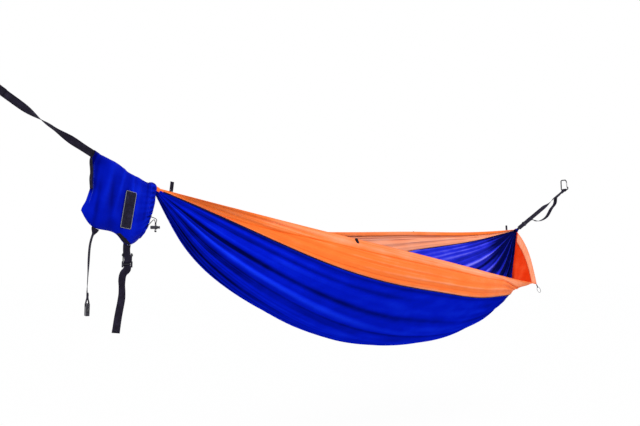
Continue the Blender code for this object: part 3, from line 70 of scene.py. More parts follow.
# %% [markdown]
# ## The camera
# A camera could be moved by eye until the outlines agree. This one is worked out from the photo's own
# straight lines: the span between the gathers and the horizon. It looks 46 degrees along the hammock, so the
# head end shows about twice as large as the foot.

# %% The camera at the photo's viewing angle
PHOTO_WIDTH = 640
PHOTO_HEIGHT = 426
FOCAL_PIXELS = 600.0
HORIZON_ROW = 274
SENSOR = 36.0
CAMERA_FROM_GATHER = np.array([-1.0588, -1.7711, -0.2728])
CAMERA_TURN = 46.1


def put_in_scene(name, data):
    """A new object in the scene's own collection."""
    obj = bpy.data.objects.new(name, data)
    bpy.context.scene.collection.objects.link(obj)
    return obj


def make_camera():
    """A camera that looks along the photo's own line."""
    turn = math.radians(CAMERA_TURN)
    lift = math.atan((HORIZON_ROW - PHOTO_HEIGHT / 2) / FOCAL_PIXELS)
    ahead = np.array([math.sin(turn), math.cos(turn), 0.0])
    right = np.array([math.cos(turn), -math.sin(turn), 0.0])
    looking = ahead * math.cos(lift) + Z_AXIS * math.sin(lift)
    placed = Matrix.Identity(4)
    for k, axis in enumerate((right, np.cross(right, looking), -looking)):
        placed.col[k][:3] = axis
    placed.col[3][:3] = HEAD_GATHER + CAMERA_FROM_GATHER
    data = bpy.data.cameras.new("photo_camera")
    data.sensor_width = SENSOR
    data.lens = FOCAL_PIXELS / PHOTO_WIDTH * SENSOR
    camera = put_in_scene("photo_camera", data)
    camera.matrix_world = placed
    bpy.context.scene.camera = camera
    return camera


print("lens", make_camera().data.lens, "mm")

# %% [markdown]
# ## Light and backdrop
# Thin nylon looks right in large soft light. Area lamps light near parts more than far ones, and this piece
# is four metres long. So a broad sun from above, a weak one from the head side and an even sky light it. The
# camera sees sky and floor as white, which adds no light.

# %% Sky, suns and floor
SKY_LIGHT = 0.62
SKY_COLOUR = (0.95, 0.97, 1.0, 1.0)
# Each sun's strength, its spread in degrees, and its turns about X, Y and Z in degrees
SUNS = {"broad_sun": (1.9, 35, (34, -18, 0)), "head_side_fill": (0.7, 50, (72, 0, -50))}
FLOOR_DROP = 1.45
FLOOR_REACH = 60.0
FLOOR_WHITE_SHARE = 0.97


def set_sockets(node, values):
    """Set a node's own sockets from a table of their names and values."""
    for name, value in values.items():
        node.inputs[name].default_value = value


def white_to_camera(tree, share, plain, white, output):
    """Mix a white shader into a plain one, for the camera's own rays only."""
    path = tree.nodes.new("ShaderNodeLightPath")
    part = tree.nodes.new("ShaderNodeMath")
    part.operation = "MULTIPLY"
    part.inputs[1].default_value = share
    mix = tree.nodes.new("ShaderNodeMixShader")
    tree.links.new(path.outputs["Is Camera Ray"], part.inputs[0])
    for socket, source in zip(mix.inputs, (part, plain, white)):
        tree.links.new(source.outputs[0], socket)
    tree.links.new(mix.outputs[0], output.inputs["Surface"])


def make_sky():
    """An even, slightly cool sky."""
    world = bpy.data.worlds.new("studio_sky")
    bpy.context.scene.world = world
    world.use_nodes = True
    tree = world.node_tree
    sky = tree.nodes["Background"]
    set_sockets(sky, {"Color": SKY_COLOUR, "Strength": SKY_LIGHT})
    white = tree.nodes.new("ShaderNodeBackground")
    set_sockets(white, {"Color": (1.0, 1.0, 1.0, 1.0)})
    white_to_camera(tree, 1.0, sky, white, tree.nodes["World Output"])


def make_sun(name, strength, spread, turns):
    """A lamp that lights every part alike, softer the wider its spread."""
    sun = bpy.data.lights.new(name, "SUN")
    sun.energy = strength
    sun.angle = math.radians(spread)
    put_in_scene(name, sun).rotation_euler = [math.radians(turn) for turn in turns]


def make_floor():
    """A wide pale floor, with a trace of the hammock's shadow left on it."""
    material = bpy.data.materials.new("studio_floor")
    material.use_nodes = True
    tree = material.node_tree
    shader = tree.nodes["Principled BSDF"]
    set_sockets(shader, {"Base Color": (0.8, 0.8, 0.8, 1.0), "Roughness": 0.9})
    glow = tree.nodes.new("ShaderNodeEmission")
    white_to_camera(tree, FLOOR_WHITE_SHARE, shader, glow, tree.nodes["Material Output"])
    mesh = bpy.data.meshes.new("studio_floor")
    corners = [(x * FLOOR_REACH, y * FLOOR_REACH, -FLOOR_DROP)
               for x, y in ((-1, -1), (1, -1), (1, 1), (-1, 1))]
    mesh.from_pydata(corners, [], [(0, 1, 2, 3)])
    mesh.materials.append(material)
    put_in_scene("studio_floor", mesh)


make_sky()
for sun_name, sun_values in SUNS.items():
    make_sun(sun_name, *sun_values)
make_floor()
bpy.context.scene.view_settings.view_transform = "Standard"
print("suns", list(SUNS), "and a sky of strength", SKY_LIGHT)

# %% [markdown]
# ## Directions, distances and short tables
# Straps and edges are arrays of points, which numpy handles all at once. `eased` reads a value from a short
# table and levels out at each entry, so a width or a twist is a handful of pairs.

# %% Small helpers for arrays of points


def unit(vector):
    """The vector at length 1."""
    vector = np.array(vector, float)
    return vector / np.linalg.norm(vector)


def level(vectors):
    """Each vector of an array at length 1."""
    return vectors / np.maximum(np.linalg.norm(vectors, axis=-1, keepdims=True), 1e-12)


def run_along(path):
    """How far along a path each of its points lies."""
    return np.concatenate([[0.0], np.cumsum(np.linalg.norm(np.diff(path, axis=0), axis=1))])


def read_along(distances, run, values):
    """Vectors given at a path's points, read at other distances along it."""
    return np.stack([np.interp(distances, run, values[:, k]) for k in range(3)], axis=-1)


def eased(at, table):
    """A value read from (place, value) pairs, levelling out at each pair."""
    places = np.array([p for p, _ in table])
    values = np.array([v for _, v in table], float)
    at = np.clip(at, places[0], places[-1])
    i = np.clip(np.searchsorted(places, at, side="right") - 1, 0, len(places) - 2)
    share = (at - places[i]) / (places[i + 1] - places[i])
    return values[i] + (values[i + 1] - values[i]) * share * share * (3 - 2 * share)


print("half way up a step:", eased(0.5, [(0.0, 0.0), (1.0, 1.0)]))

# %% [markdown]
# ## Curves through a few points
# A cloth edge or a strap is drawn by a handful of places. Blender's own curves could join them, but rows have
# to be read off by distance. So a natural spline is solved here: it bends as little as it can, as a taut edge
# does.

# %% Splines and rounded corners


def natural_spline(points):
    """The points, their distances along, and the bend of a natural cubic at each."""
    p = np.array(points, float)
    knots = run_along(p)
    h = np.diff(knots)
    system = np.eye(len(p))
    right = np.zeros_like(p)
    for i in range(1, len(p) - 1):
        system[i, i - 1:i + 2] = h[i - 1], 2 * (h[i - 1] + h[i]), h[i]
        right[i] = 6 * ((p[i + 1] - p[i]) / h[i] - (p[i] - p[i - 1]) / h[i - 1])
    return p, knots, np.linalg.solve(system, right)


def on_spline(spline, at):
    """Places on a natural spline at the given distances."""
    p, knots, bend = spline
    at = np.atleast_1d(np.array(at, float))
    i = np.clip(np.searchsorted(knots, at, side="right") - 1, 0, len(p) - 2)
    h = (knots[i + 1] - knots[i])[:, None]
    u = (at - knots[i])[:, None] / h
    w = 1 - u
    return w * p[i] + u * p[i + 1] + ((w**3 - w) * bend[i] + (u**3 - u) * bend[i + 1]) * h**2 / 6


def fine_path(points, each):
    """A smooth curve through the points, with each steps between neighbours."""
    spline = natural_spline(points)
    knots = spline[1]
    at = np.concatenate([np.linspace(a, b, each, endpoint=False) for a, b in zip(knots, knots[1:])])
    return on_spline(spline, np.append(at, knots[-1]))


def rounded_path(corners, radius, steps, closed=False):
    """The corners joined by straight runs, each rounded by an arc."""
    corners = [np.array(c, float) for c in corners]
    n = len(corners)
    path = []
    for i, corner in enumerate(corners):
        if not closed and i in (0, n - 1):
            path.append(corner)
            continue
        before = unit(corners[i - 1] - corner)
        after = unit(corners[(i + 1) % n] - corner)
        half = math.acos(float(np.clip(before @ after, -1, 1))) / 2
        back = radius / math.tan(half)
        centre = corner + unit(before + after) * radius / math.sin(half)
        start = corner + before * back - centre
        end = corner + after * back - centre
        swing = math.pi - 2 * half
        for f in np.linspace(0, 1, steps + 1):
            turned = start * math.sin((1 - f) * swing) + end * math.sin(f * swing)
            path.append(centre + turned / math.sin(swing))
    return np.array(path)


print("points round a corner:", len(rounded_path([(0, 0, 0), (1, 0, 0), (1, 1, 0)], 0.1, 6)))

# %% [markdown]
# ## Unevenness that stays the same
# Real cloth is never even. A noise texture could move its points, but the same unevenness also has to tint
# it. So smooth noise is read from a lattice of seeded random numbers.

# %% Soft noise
LATTICE = 64


def soft_noise(u, v, seed):
    """Smooth noise between -1 and 1 over a lattice of whole numbers."""
    lattice = np.random.default_rng(seed).uniform(-1, 1, (LATTICE, LATTICE))
    iu, iv = np.floor(u).astype(int), np.floor(v).astype(int)
    fu, fv = u - iu, v - iv
    fu, fv = fu * fu * (3 - 2 * fu), fv * fv * (3 - 2 * fv)
    iu, iv, next_u, next_v = iu % LATTICE, iv % LATTICE, (iu + 1) % LATTICE, (iv + 1) % LATTICE
    near = lattice[iu, iv] * (1 - fu) + lattice[next_u, iv] * fu
    far = lattice[iu, next_v] * (1 - fu) + lattice[next_u, next_v] * fu
    return near * (1 - fv) + far * fv


print("noise at a point", soft_noise(1.3 * np.ones(1), 2.6 * np.ones(1), 1).round(3))

# %% [markdown]
# ## Finishes
# Each finish is a small node tree, because painted pictures blur close to. The cloth reads a number kept on
# its points, called tone: low in a crease and high on a ridge, so it paints shade into creases and highlights
# onto ridges. Its squares and the webbing's ribs are drawn from lengths in metres kept in the UV map.

# %% Node helpers
LENGTH_READ = 4.0


def new_finish(name, colour, roughness, metallic=0.0):
    """A material, its node tree and its shader."""
    material = bpy.data.materials.new(name)
    material.use_nodes = True
    shader = material.node_tree.nodes["Principled BSDF"]
    set_sockets(shader, {"Base Color": (*colour, 1.0), "Roughness": roughness, "Metallic": metallic})
    material.diffuse_color = (*colour, 1.0)
    return material, material.node_tree, shader


def calc(tree, operation, a, b=None):
    """A Math node; a and b are numbers or sockets."""
    node = tree.nodes.new("ShaderNodeMath")
    node.operation = operation
    for socket, value in zip(node.inputs, (a, b)):
        if isinstance(value, (int, float)):
            socket.default_value = value
        elif value is not None:
            tree.links.new(value, socket)
    return node.outputs[0]


def noise_of(tree, scale, detail=3.0, stretch=None):
    """Noise over the object's own coordinates, stretched if need be."""
    place = tree.nodes.new("ShaderNodeTexCoord").outputs["Object"]
    if stretch is not None:
        mapping = tree.nodes.new("ShaderNodeMapping")
        set_sockets(mapping, {"Scale": stretch})
        tree.links.new(place, mapping.inputs["Vector"])
        place = mapping.outputs[0]
    node = tree.nodes.new("ShaderNodeTexNoise")
    set_sockets(node, {"Scale": scale, "Detail": detail})
    tree.links.new(place, node.inputs["Vector"])
    return node.outputs["Fac"]


def ramp_of(tree, value, stops):
    """A colour ramp with (place, colour) stops."""
    node = tree.nodes.new("ShaderNodeValToRGB")
    bands = node.color_ramp.elements
    while len(bands) < len(stops):
        bands.new(0.5)
    for band, (place, colour) in zip(bands, stops):
        band.position = place
        band.color = (*colour, 1.0)
    tree.links.new(value, node.inputs[0])
    return node.outputs[0]


def span_of(tree, value, low, high):
    """A value between 0 and 1 brought between low and high."""
    node = tree.nodes.new("ShaderNodeMapRange")
    set_sockets(node, {"To Min": low, "To Max": high})
    tree.links.new(value, node.inputs["Value"])
    return node.outputs[0]


def raise_by(tree, shader, height, distance, strength=1.0):
    """Bump of a real height in metres."""
    node = tree.nodes.new("ShaderNodeBump")
    set_sockets(node, {"Distance": distance, "Strength": strength})
    tree.links.new(height, node.inputs["Height"])
    tree.links.new(node.outputs[0], shader.inputs["Normal"])


def lengths_of(tree):
    """The lengths in metres in the UV map: along a piece and across it."""
    place = tree.nodes.new("ShaderNodeUVMap")
    place.uv_map = "metres"
    parts = tree.nodes.new("ShaderNodeSeparateXYZ")
    tree.links.new(place.outputs[0], parts.inputs[0])
    return parts.outputs[0], parts.outputs[1]


def wave_of(tree, length, pitch):
    """A sine between -1 and 1 that repeats at a pitch in metres."""
    return calc(tree, "SINE", calc(tree, "MULTIPLY", length, math.tau / pitch))


def value_along(tree, stops):
    """A value by the place along the hammock: stops are (share of LENGTH_READ along X, value)."""
    parts = tree.nodes.new("ShaderNodeSeparateXYZ")
    tree.links.new(tree.nodes.new("ShaderNodeTexCoord").outputs["Object"], parts.inputs[0])
    share = calc(tree, "MULTIPLY", parts.outputs[0], 1 / LENGTH_READ)
    return ramp_of(tree, share, [(place, (value, value, value)) for place, value in stops])


def colour_and_roughness(tree, shader, colour, rough, low, high):
    """Link a shader's colour, and a roughness that noise moves between low and high."""
    tree.links.new(colour, shader.inputs["Base Color"])
    tree.links.new(span_of(tree, rough, low, high), shader.inputs["Roughness"])


print("finishes so far", len(bpy.data.materials))

# %% [markdown]
# ## Ripstop nylon
# The cloth is a fine weave with a thicker thread every 5 mm both ways, and it shines softly. Light falls
# through it and washes out its inner face. A translucent shader could do that, but slowly, so the inner face
# gets a paler finish instead: painted light.

# %% How the cloth is finished
RIPSTOP = 0.005
THREAD_SHARPNESS = 24.0
THREAD_TINT = 0.04
THREAD_RISE = 0.08
MOTTLE = 0.3
MOTTLE_STRETCH = (1.0, 2.6, 2.6)
CRUMPLE_STRETCH = (0.45, 1.0, 1.0)
CRUMPLE_HEIGHT = 0.0018
CRUMPLE_STRENGTH = 0.65


def ripstop_nylon(name, dark, plain, light, roughness, sheen, flip=False, gloss=0.12, deeper=None):
    """Thin nylon whose tone paints shade in creases and highlights on ridges, and more painted shade at given
    places along the hammock.
    """
    material, tree, shader = new_finish(name, plain, roughness)
    tone = tree.nodes.new("ShaderNodeAttribute")
    tone.attribute_name = "tone"
    value = tone.outputs["Fac"]
    if flip:
        value = calc(tree, "SUBTRACT", 1.0, value)
    cloudy = calc(tree, "SUBTRACT", noise_of(tree, 9.0, 4.0, MOTTLE_STRETCH), 0.5)
    value = calc(tree, "ADD", value, calc(tree, "MULTIPLY", cloudy, MOTTLE))
    threads = [calc(tree, "POWER", calc(tree, "ABSOLUTE", wave_of(tree, x, RIPSTOP * 2)), THREAD_SHARPNESS)
               for x in lengths_of(tree)]
    grid = calc(tree, "MAXIMUM", *threads)
    value = calc(tree, "ADD", value, calc(tree, "MULTIPLY", grid, THREAD_TINT))
    # Painted shade at the given places along the hammock.
    if deeper:
        value = calc(tree, "SUBTRACT", value, value_along(tree, deeper))
    colour = ramp_of(tree, value, ((0.05, dark), (0.5, plain), (0.95, light)))
    colour_and_roughness(tree, shader, colour, noise_of(tree, 30.0), roughness - 0.08, roughness + 0.1)
    set_sockets(shader, {"Sheen Weight": sheen, "Sheen Roughness": 0.45, "Sheen Tint": (*light, 1.0),
                         "Specular IOR Level": gloss, "Specular Tint": (*light, 1.0)})
    crumple = noise_of(tree, 38.0, 5.0, CRUMPLE_STRETCH)
    crumple = calc(tree, "ADD", calc(tree, "MULTIPLY", grid, THREAD_RISE), crumple)
    raise_by(tree, shader, crumple, CRUMPLE_HEIGHT, CRUMPLE_STRENGTH)
    return material


print("squares of", RIPSTOP, "m")

# %% [markdown]
# The two cloths are dyed blue and orange. Each finish is three linear colours: painted shade for a crease,
# flat, and a painted highlight for a ridge. The foot corner is looked into from inside, and there the finish
# is a darker, redder orange: painted shade and light shining through the cloth.

# %% The cloth finishes
# The stops along the hammock are painted shade: outer blue near both ends, inner blue and orange by the foot.
BLUE_OUT = ripstop_nylon("blue_nylon_outside", (0.0004, 0.0016, 0.055), (0.001, 0.0085, 0.5),
                         (0.006, 0.036, 0.82), 0.46, 0.06, gloss=0.0,
                         deeper=((0.16, 0.2), (0.26, 0.0), (0.56, 0.0), (0.72, 0.3)))
# The inner faces are paler, and the inner blue's ridges violet: painted light falling through the cloth.
BLUE_IN = ripstop_nylon("blue_nylon_inside", (0.0003, 0.0016, 0.06), (0.016, 0.024, 0.62), (0.26, 0.25, 0.96),
                        0.42, 0.12, flip=True, gloss=0.0, deeper=((0.7, 0.0), (0.745, 0.12), (0.775, 0.5)))
ORANGE_OUT = ripstop_nylon("orange_nylon_outside", (0.82, 0.095, 0.008), (0.9, 0.182, 0.033),
                           (0.93, 0.41, 0.25), 0.5, 0.15, gloss=0.03,
                           deeper=((0.64, 0.0), (0.71, 0.16), (0.8, 0.16)))
ORANGE_IN = ripstop_nylon("orange_nylon_inside", (0.6, 0.09, 0.018), (0.83, 0.29, 0.15), (0.87, 0.46, 0.34),
                          0.5, 0.2, flip=True)
# The near band's inner face at the foot corner: a darker, redder orange, painted shade and light shining
# through.
ORANGE_CORNER_PAINTED_LIGHT = ripstop_nylon("orange_nylon_in_the_corner", (0.36, 0.005, 0.001), (0.6, 0.026, 0.002),
                            (0.74, 0.09, 0.025), 0.5, 0.05, flip=True, gloss=0.03)
# The doubled hem's paler peach is painted sheen.
HEM_PEACH = ripstop_nylon("orange_nylon_doubled_hem", (0.64, 0.085, 0.018), (0.82, 0.215, 0.092),
                          (0.86, 0.37, 0.235), 0.48, 0.1)
SACK_BLUE = ripstop_nylon("blue_nylon_sack", (0.0004, 0.0014, 0.11), (0.0005, 0.006, 0.35),
                          (0.0025, 0.017, 0.57), 0.48, 0.08)
print("cloth finishes", [m.name for m in (BLUE_OUT, BLUE_IN, ORANGE_OUT, ORANGE_IN, ORANGE_CORNER_PAINTED_LIGHT)])

# %% [markdown]
# ## Webbing and thread
# Flat webbing shows ribs along it and picks across it. Modelled, they would be millions of faces. Two sines
# of the real pitches do it, and their product gives the small woven pillows.

# %% Webbing and thread finishes
RIB_PITCH = 0.0021
PICK_PITCH = 0.0016
THREAD_TWIST = 0.0006


def black_webbing(name, colour, rib=RIB_PITCH, pick=PICK_PITCH):
    """Woven tape, ribbed along its length."""
    material, tree, shader = new_finish(name, colour, 0.72)
    along, across = lengths_of(tree)
    weave = calc(tree, "MULTIPLY", wave_of(tree, along, pick), wave_of(tree, across, rib))
    value = calc(tree, "ADD", calc(tree, "MULTIPLY", weave, 0.25), noise_of(tree, 60.0))
    dark, pale = tuple(c * 0.5 for c in colour), tuple(c * 2.6 + 0.004 for c in colour)
    stops = ((0.2, dark), (0.55, colour), (0.9, pale))
    colour_and_roughness(tree, shader, ramp_of(tree, value, stops), noise_of(tree, 120.0), 0.58, 0.8)
    set_sockets(shader, {"Sheen Weight": 0.15, "Sheen Roughness": 0.4, "Sheen Tint": (0.1, 0.08, 0.18, 1.0),
                         "Specular IOR Level": 0.12})
    raise_by(tree, shader, weave, 0.0003, 0.8)
    return material


def sewing_thread(name, colour):
    """Twisted thread, a little shiny."""
    material, tree, shader = new_finish(name, colour, 0.5)
    twist = wave_of(tree, calc(tree, "ADD", *lengths_of(tree)), THREAD_TWIST)
    raise_by(tree, shader, twist, 0.0001, 0.6)
    tree.links.new(span_of(tree, noise_of(tree, 200.0), 0.4, 0.6), shader.inputs["Roughness"])
    return material


WEBBING = black_webbing("black_webbing", (0.0095, 0.007, 0.017))
CORD = black_webbing("braided_cord", (0.008, 0.006, 0.013), 0.0011, 0.0013)
PATCH = black_webbing("woven_patch", (0.011, 0.0095, 0.026), 0.0009, 0.0009)
# The seam tape's near-black is painted shade in the fold of the seam.
SEAM_CLOTH = black_webbing("dark_seam_tape", (0.006, 0.005, 0.035), 0.0012, 0.0012)
BLACK_THREAD = sewing_thread("black_thread", (0.02, 0.018, 0.03))
BLUE_THREAD = sewing_thread("blue_thread", (0.002, 0.01, 0.26))
ORANGE_THREAD = sewing_thread("orange_thread", (0.8, 0.22, 0.07))
PALE_THREAD = sewing_thread("pale_thread", (0.4, 0.4, 0.46))
SACK_THREAD = sewing_thread("pale_blue_thread", (0.1, 0.16, 0.7))
GREY_BORDER = sewing_thread("grey_border", (0.24, 0.25, 0.27))
print("webbing ribs", RIB_PITCH, "m apart")

# %% [markdown]
# ## Plastic and metal
# The moulded plastic is satin with a fine grain, the alloy is anodised black and rubbed bright in places, and
# the wire is plain steel. One even colour looks like a toy, so noise breaks up colour and shine.

# %% Plastic and metal finishes


def moulded_plastic(name, colour, roughness):
    """Satin moulded plastic with a fine grain."""
    material, tree, shader = new_finish(name, colour, roughness)
    grain, scuff = noise_of(tree, 900.0, 2.0), noise_of(tree, 60.0, 4.0)
    stops = ((0.3, tuple(c * 0.8 for c in colour)), (0.7, tuple(c * 1.5 for c in colour)))
    colour_and_roughness(tree, shader, ramp_of(tree, scuff, stops), scuff, roughness - 0.1, roughness + 0.16)
    raise_by(tree, shader, grain, 0.0001, 0.35)
    return material


def worn_metal(name, colour, bare, roughness, metallic):
    """Finished metal that is rubbed bright in places."""
    material, tree, shader = new_finish(name, colour, roughness, metallic)
    rubbed = ramp_of(tree, noise_of(tree, 85.0, 6.0), ((0.5, colour), (0.66, colour), (0.74, bare)))
    colour_and_roughness(tree, shader, rubbed, noise_of(tree, 240.0), roughness - 0.08, roughness + 0.12)
    raise_by(tree, shader, noise_of(tree, 500.0, 3.0), 0.00005, 0.3)
    return material


PLASTIC = moulded_plastic("black_plastic", (0.0085, 0.0075, 0.014), 0.38)
ALLOY = worn_metal("black_anodised_alloy", (0.012, 0.012, 0.016), (0.1, 0.1, 0.11), 0.34, 0.7)
STEEL = worn_metal("bright_wire", (0.42, 0.42, 0.44), (0.6, 0.6, 0.62), 0.26, 1.0)
GREY_STEEL = worn_metal("grey_wire", (0.16, 0.16, 0.17), (0.34, 0.34, 0.36), 0.34, 0.9)
print("finishes made", len(bpy.data.materials))

# %% [markdown]
# ## Meshes from rows of points
# A sheet is a grid of rows, and a modifier gives it its thickness, so its faces can have two finishes. Each
# mesh keeps its lengths in metres for the weave, and its tone where it is cloth.

# %% Sheets


def put_mesh(name, points, faces, finishes, body, lengths, tone=None, closed=False):
    """A smooth mesh object that rides on a body."""
    mesh = bpy.data.meshes.new(name)
    mesh.from_pydata(np.reshape(points, (-1, 3)).tolist(), [], faces)
    for finish in finishes:
        mesh.materials.append(finish)
    corners = np.empty(len(mesh.loops), int)
    mesh.loops.foreach_get("vertex_index", corners)
    layer = mesh.uv_layers.new(name="metres")
    layer.data.foreach_set("uv", np.reshape(lengths, (-1, 2))[corners].astype(np.float32).ravel())
    if tone is not None:
        painted = mesh.attributes.new("tone", "FLOAT", "POINT")
        painted.data.foreach_set("value", np.ravel(tone).astype(np.float32))
    mesh.polygons.foreach_set("use_smooth", [True] * len(mesh.polygons))
    if closed:
        turned_out = bmesh.new()
        turned_out.from_mesh(mesh)
        bmesh.ops.recalc_face_normals(turned_out, faces=turned_out.faces)
        turned_out.to_mesh(mesh)
        turned_out.free()
    mesh.update()
    obj = put_in_scene(name, mesh)
    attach(obj, body)
    return obj


def grid_faces(rows, columns, wrap=False):
    """The faces between rows; wrap joins the last column to the first."""
    last = columns if wrap else columns - 1
    return [(i * columns + j, i * columns + (j + 1) % columns, (i + 1) * columns + (j + 1) % columns,
             (i + 1) * columns + j) for i in range(rows - 1) for j in range(last)]


def thickened(obj, thickness):
    """A sheet given its thickness; the last finish shows on its other face."""
    shell = obj.modifiers.new("thickness", "SOLIDIFY")
    shell.thickness = thickness
    shell.offset = 0.0
    shell.material_offset = len(obj.data.materials) - 1
    return obj


def cloth(name, rows, tone, finishes, thickness, slot, flat_width):
    """A sheet of the bed's or the sack's cloth from its rows."""
    rows = np.array(rows)
    m, n = rows.shape[:2]
    run = np.linalg.norm(np.diff(rows, axis=0), axis=2).mean(axis=1)
    along = np.concatenate([[0.0], np.cumsum(run)])[:, None] * np.ones(n)
    across = np.linspace(0, flat_width, n)[None, :] * np.ones((m, 1))
    lengths = np.stack([along, across], axis=2)
    return thickened(put_mesh(name, rows, grid_faces(m, n), finishes, BED, lengths, tone), thickness)


print("faces in a small grid", len(grid_faces(3, 4)))

# %% [markdown]
# Webbing, wire and thread are swept along a path. A bevelled curve could do it, but webbing's flat section
# has to turn as the strap twists. A row of stitches is one mesh of short threads.

# %% Webbing, bars and stitches
WEBBING_THICKNESS = 0.0014
BARTACK_PITCH = 0.0012
# Points round a strap's section: (side, inset from the edge and height, both in half thicknesses)
STRAP_SECTION = [(-1, 1, 1), (-1, 3, 1.12), (0, 0, 1), (1, 3, 1.12), (1, 1, 1), (1, 0.3, 0.7), (1, 0, 0),
                 (1, 0.3, -0.7), (1, 1, -1), (1, 3, -1.12), (0, 0, -1), (-1, 3, -1.12), (-1, 1, -1),
                 (-1, 0.3, -0.7), (-1, 0, 0), (-1, 0.3, 0.7)]


def strap(name, path, across, width, body, thickness=WEBBING_THICKNESS, finish=WEBBING):
    """Flat webbing along a path, with rounded selvedges; across is the way of its width."""
    path = np.array(path, float)
    tangent = level(np.gradient(path, axis=0))
    across = np.broadcast_to(np.array(across, float), path.shape)
    across = level(across - tangent * (across * tangent).sum(axis=1, keepdims=True))
    normal = np.cross(tangent, across)
    half = np.broadcast_to(np.array(width, float), (len(path),)) / 2
    thin = thickness / 2
    run = run_along(path)
    rings, lengths = [], []
    for side, inset, height in STRAP_SECTION:
        reach = side * (half - inset * thin)
        rings.append(path + across * reach[:, None] + normal * height * thin)
        lengths.append(np.stack([run, reach], axis=1))
    count = len(STRAP_SECTION)
    faces = grid_faces(len(path), count, wrap=True)
    faces += [tuple(range(count)), tuple(range((len(path) - 1) * count, len(path) * count))]
    return put_mesh(name, np.stack(rings, axis=1), faces, [finish], body, np.stack(lengths, axis=1),
                    closed=True)


def bar_rings(path, radius, sides, closed=False):
    """Rings of points round a path, carried along it without twist."""
    path = np.array(path, float)
    if closed:
        tangent = level(np.roll(path, -1, axis=0) - np.roll(path, 1, axis=0))
    else:
        tangent = level(np.gradient(path, axis=0))
    start = np.cross(tangent[0], Z_AXIS)
    if np.linalg.norm(start) < 0.2:
        start = np.cross(tangent[0], X_AXIS)
    side = [unit(start)]
    for t in tangent[1:]:
        side.append(unit(side[-1] - t * (side[-1] @ t)))
    side = np.array(side)
    other = np.cross(tangent, side)
    turn = np.arange(sides) * math.tau / sides
    reach = np.broadcast_to(np.array(radius, float), (len(path),))[:, None, None]
    ring = side[:, None, :] * np.cos(turn)[None, :, None] + other[:, None, :] * np.sin(turn)[None, :, None]
    return path[:, None, :] + ring * reach


def bar(name, path, radius, body, finish, sides=12, closed=False):
    """A round bar, wire or thread along a path."""
    rings = bar_rings(path, radius, sides, closed)
    last = (len(rings) - 1) * sides
    faces = grid_faces(len(rings), sides, wrap=True)
    if closed:
        faces += [(last + j, last + (j + 1) % sides, (j + 1) % sides, j) for j in range(sides)]
    else:
        faces += [tuple(range(sides)), tuple(range(last, last + sides))]
    run = run_along(rings.mean(axis=1))
    round_it = np.arange(sides) * math.tau / sides * float(np.mean(radius))
    lengths = np.stack(np.broadcast_arrays(run[:, None], round_it[None, :]), axis=2)
    return put_mesh(name, rings, faces, [finish], body, lengths, closed=True)


def stitch_row(name, line, normals, body, finish, pitch=0.0035, share=0.62, radius=0.00028, sides=5):
    """A row of short stitches lying on a surface along a line."""
    line = np.array(line, float)
    knots = run_along(line)
    starts = np.arange(0.0, knots[-1] - pitch, pitch)
    spots = starts[:, None] + np.array([0.0, 0.5, 1.0])[None, :] * pitch * share
    lift = level(read_along(spots, knots, np.array(normals)))
    place = read_along(spots, knots, line) + lift * np.array([0.2, 1.0, 0.2])[None, :, None] * radius
    run = level(place[:, 2] - place[:, 0])[:, None, :] * np.ones((1, 3, 1))
    side = level(np.cross(run, lift))
    turn = np.arange(sides) * math.tau / sides
    ring = side[:, :, None] * np.cos(turn)[:, None] + lift[:, :, None] * np.sin(turn)[:, None]
    size = np.array([0.6, 1.0, 0.6])[None, :, None, None] * radius
    points = place[:, :, None, :] + ring * size
    each = grid_faces(3, sides, wrap=True) + [tuple(range(sides)), tuple(range(2 * sides, 3 * sides))]
    faces = [tuple(v + k * 3 * sides for v in face) for k in range(len(starts)) for face in each]
    return put_mesh(name, points, faces, [finish], body, np.zeros(points.shape[:-1] + (2,)))


def bartack(name, middle, along, across, width, length, body, finish=BLACK_THREAD, lift=0.0011):
    """A block of close zigzag stitches sewn through webbing."""
    along, across = unit(along), unit(across)
    start = middle + np.cross(along, across) * lift
    turns = int(length / BARTACK_PITCH)
    spots = [start + along * (k / turns - 0.5) * length + across * (0.5 if k % 2 else -0.5) * width
             for k in range(turns + 1)]
    return bar(name, spots, 0.00035, body, finish, sides=6)


print("points round a strap's section", len(STRAP_SECTION))

# %% [markdown]
# ## The two necks
# At each end the cloth is drawn through a loop and bound. The bed starts and ends on a small cylinder there,
# and the angle round it fixes where each edge and seam arrives.

# %% Straps and necks
HEAD_STRAP_SAG = 0.015
NECK_RADIUS = 0.0125
NECK_LENGTH = 0.02
NECK_AIM = 0.05
NEAR_EDGE_ANGLE = 16.0
NEAR_SEAM_ANGLES = (75.0, 95.0)
FAR_SEAM_ANGLE = 285.0
FAR_EDGE_ANGLE = 344.0
BAR_RADIUS = 0.004
SPINE_LENGTH = 0.072
BASKET_LENGTH = 0.05
TOP_LENGTH = 0.034
SEAT_ALONG = SPINE_LENGTH - BAR_RADIUS * math.cos(math.pi / 8)


def head_carabiner_frame():
    """The head carabiner's lower corner and its across and along directions."""
    along = unit(-HEAD_GATHER + Z_AXIS * 4 * HEAD_STRAP_SAG)
    across = np.array([along[2], 0.0, -along[0]])
    return -across * TOP_LENGTH / 2 - along * SEAT_ALONG, across, along


def head_eye():
    """The middle of the bar that the head strap's eye hangs on."""
    corner, across, _ = head_carabiner_frame()
    return corner + across * BASKET_LENGTH / 2


def head_strap_place(share):
    """A place on the head strap's centre line, from the gather to its eye."""
    return (HEAD_GATHER + (head_eye() - HEAD_GATHER) * share
            - Z_AXIS * 4 * HEAD_STRAP_SAG * share * (1 - share))


def foot_strap_place(share):
    """A place on the taut foot strap's centre line."""
    return FOOT_GATHER + (FOOT_EYE - FOOT_GATHER) * share


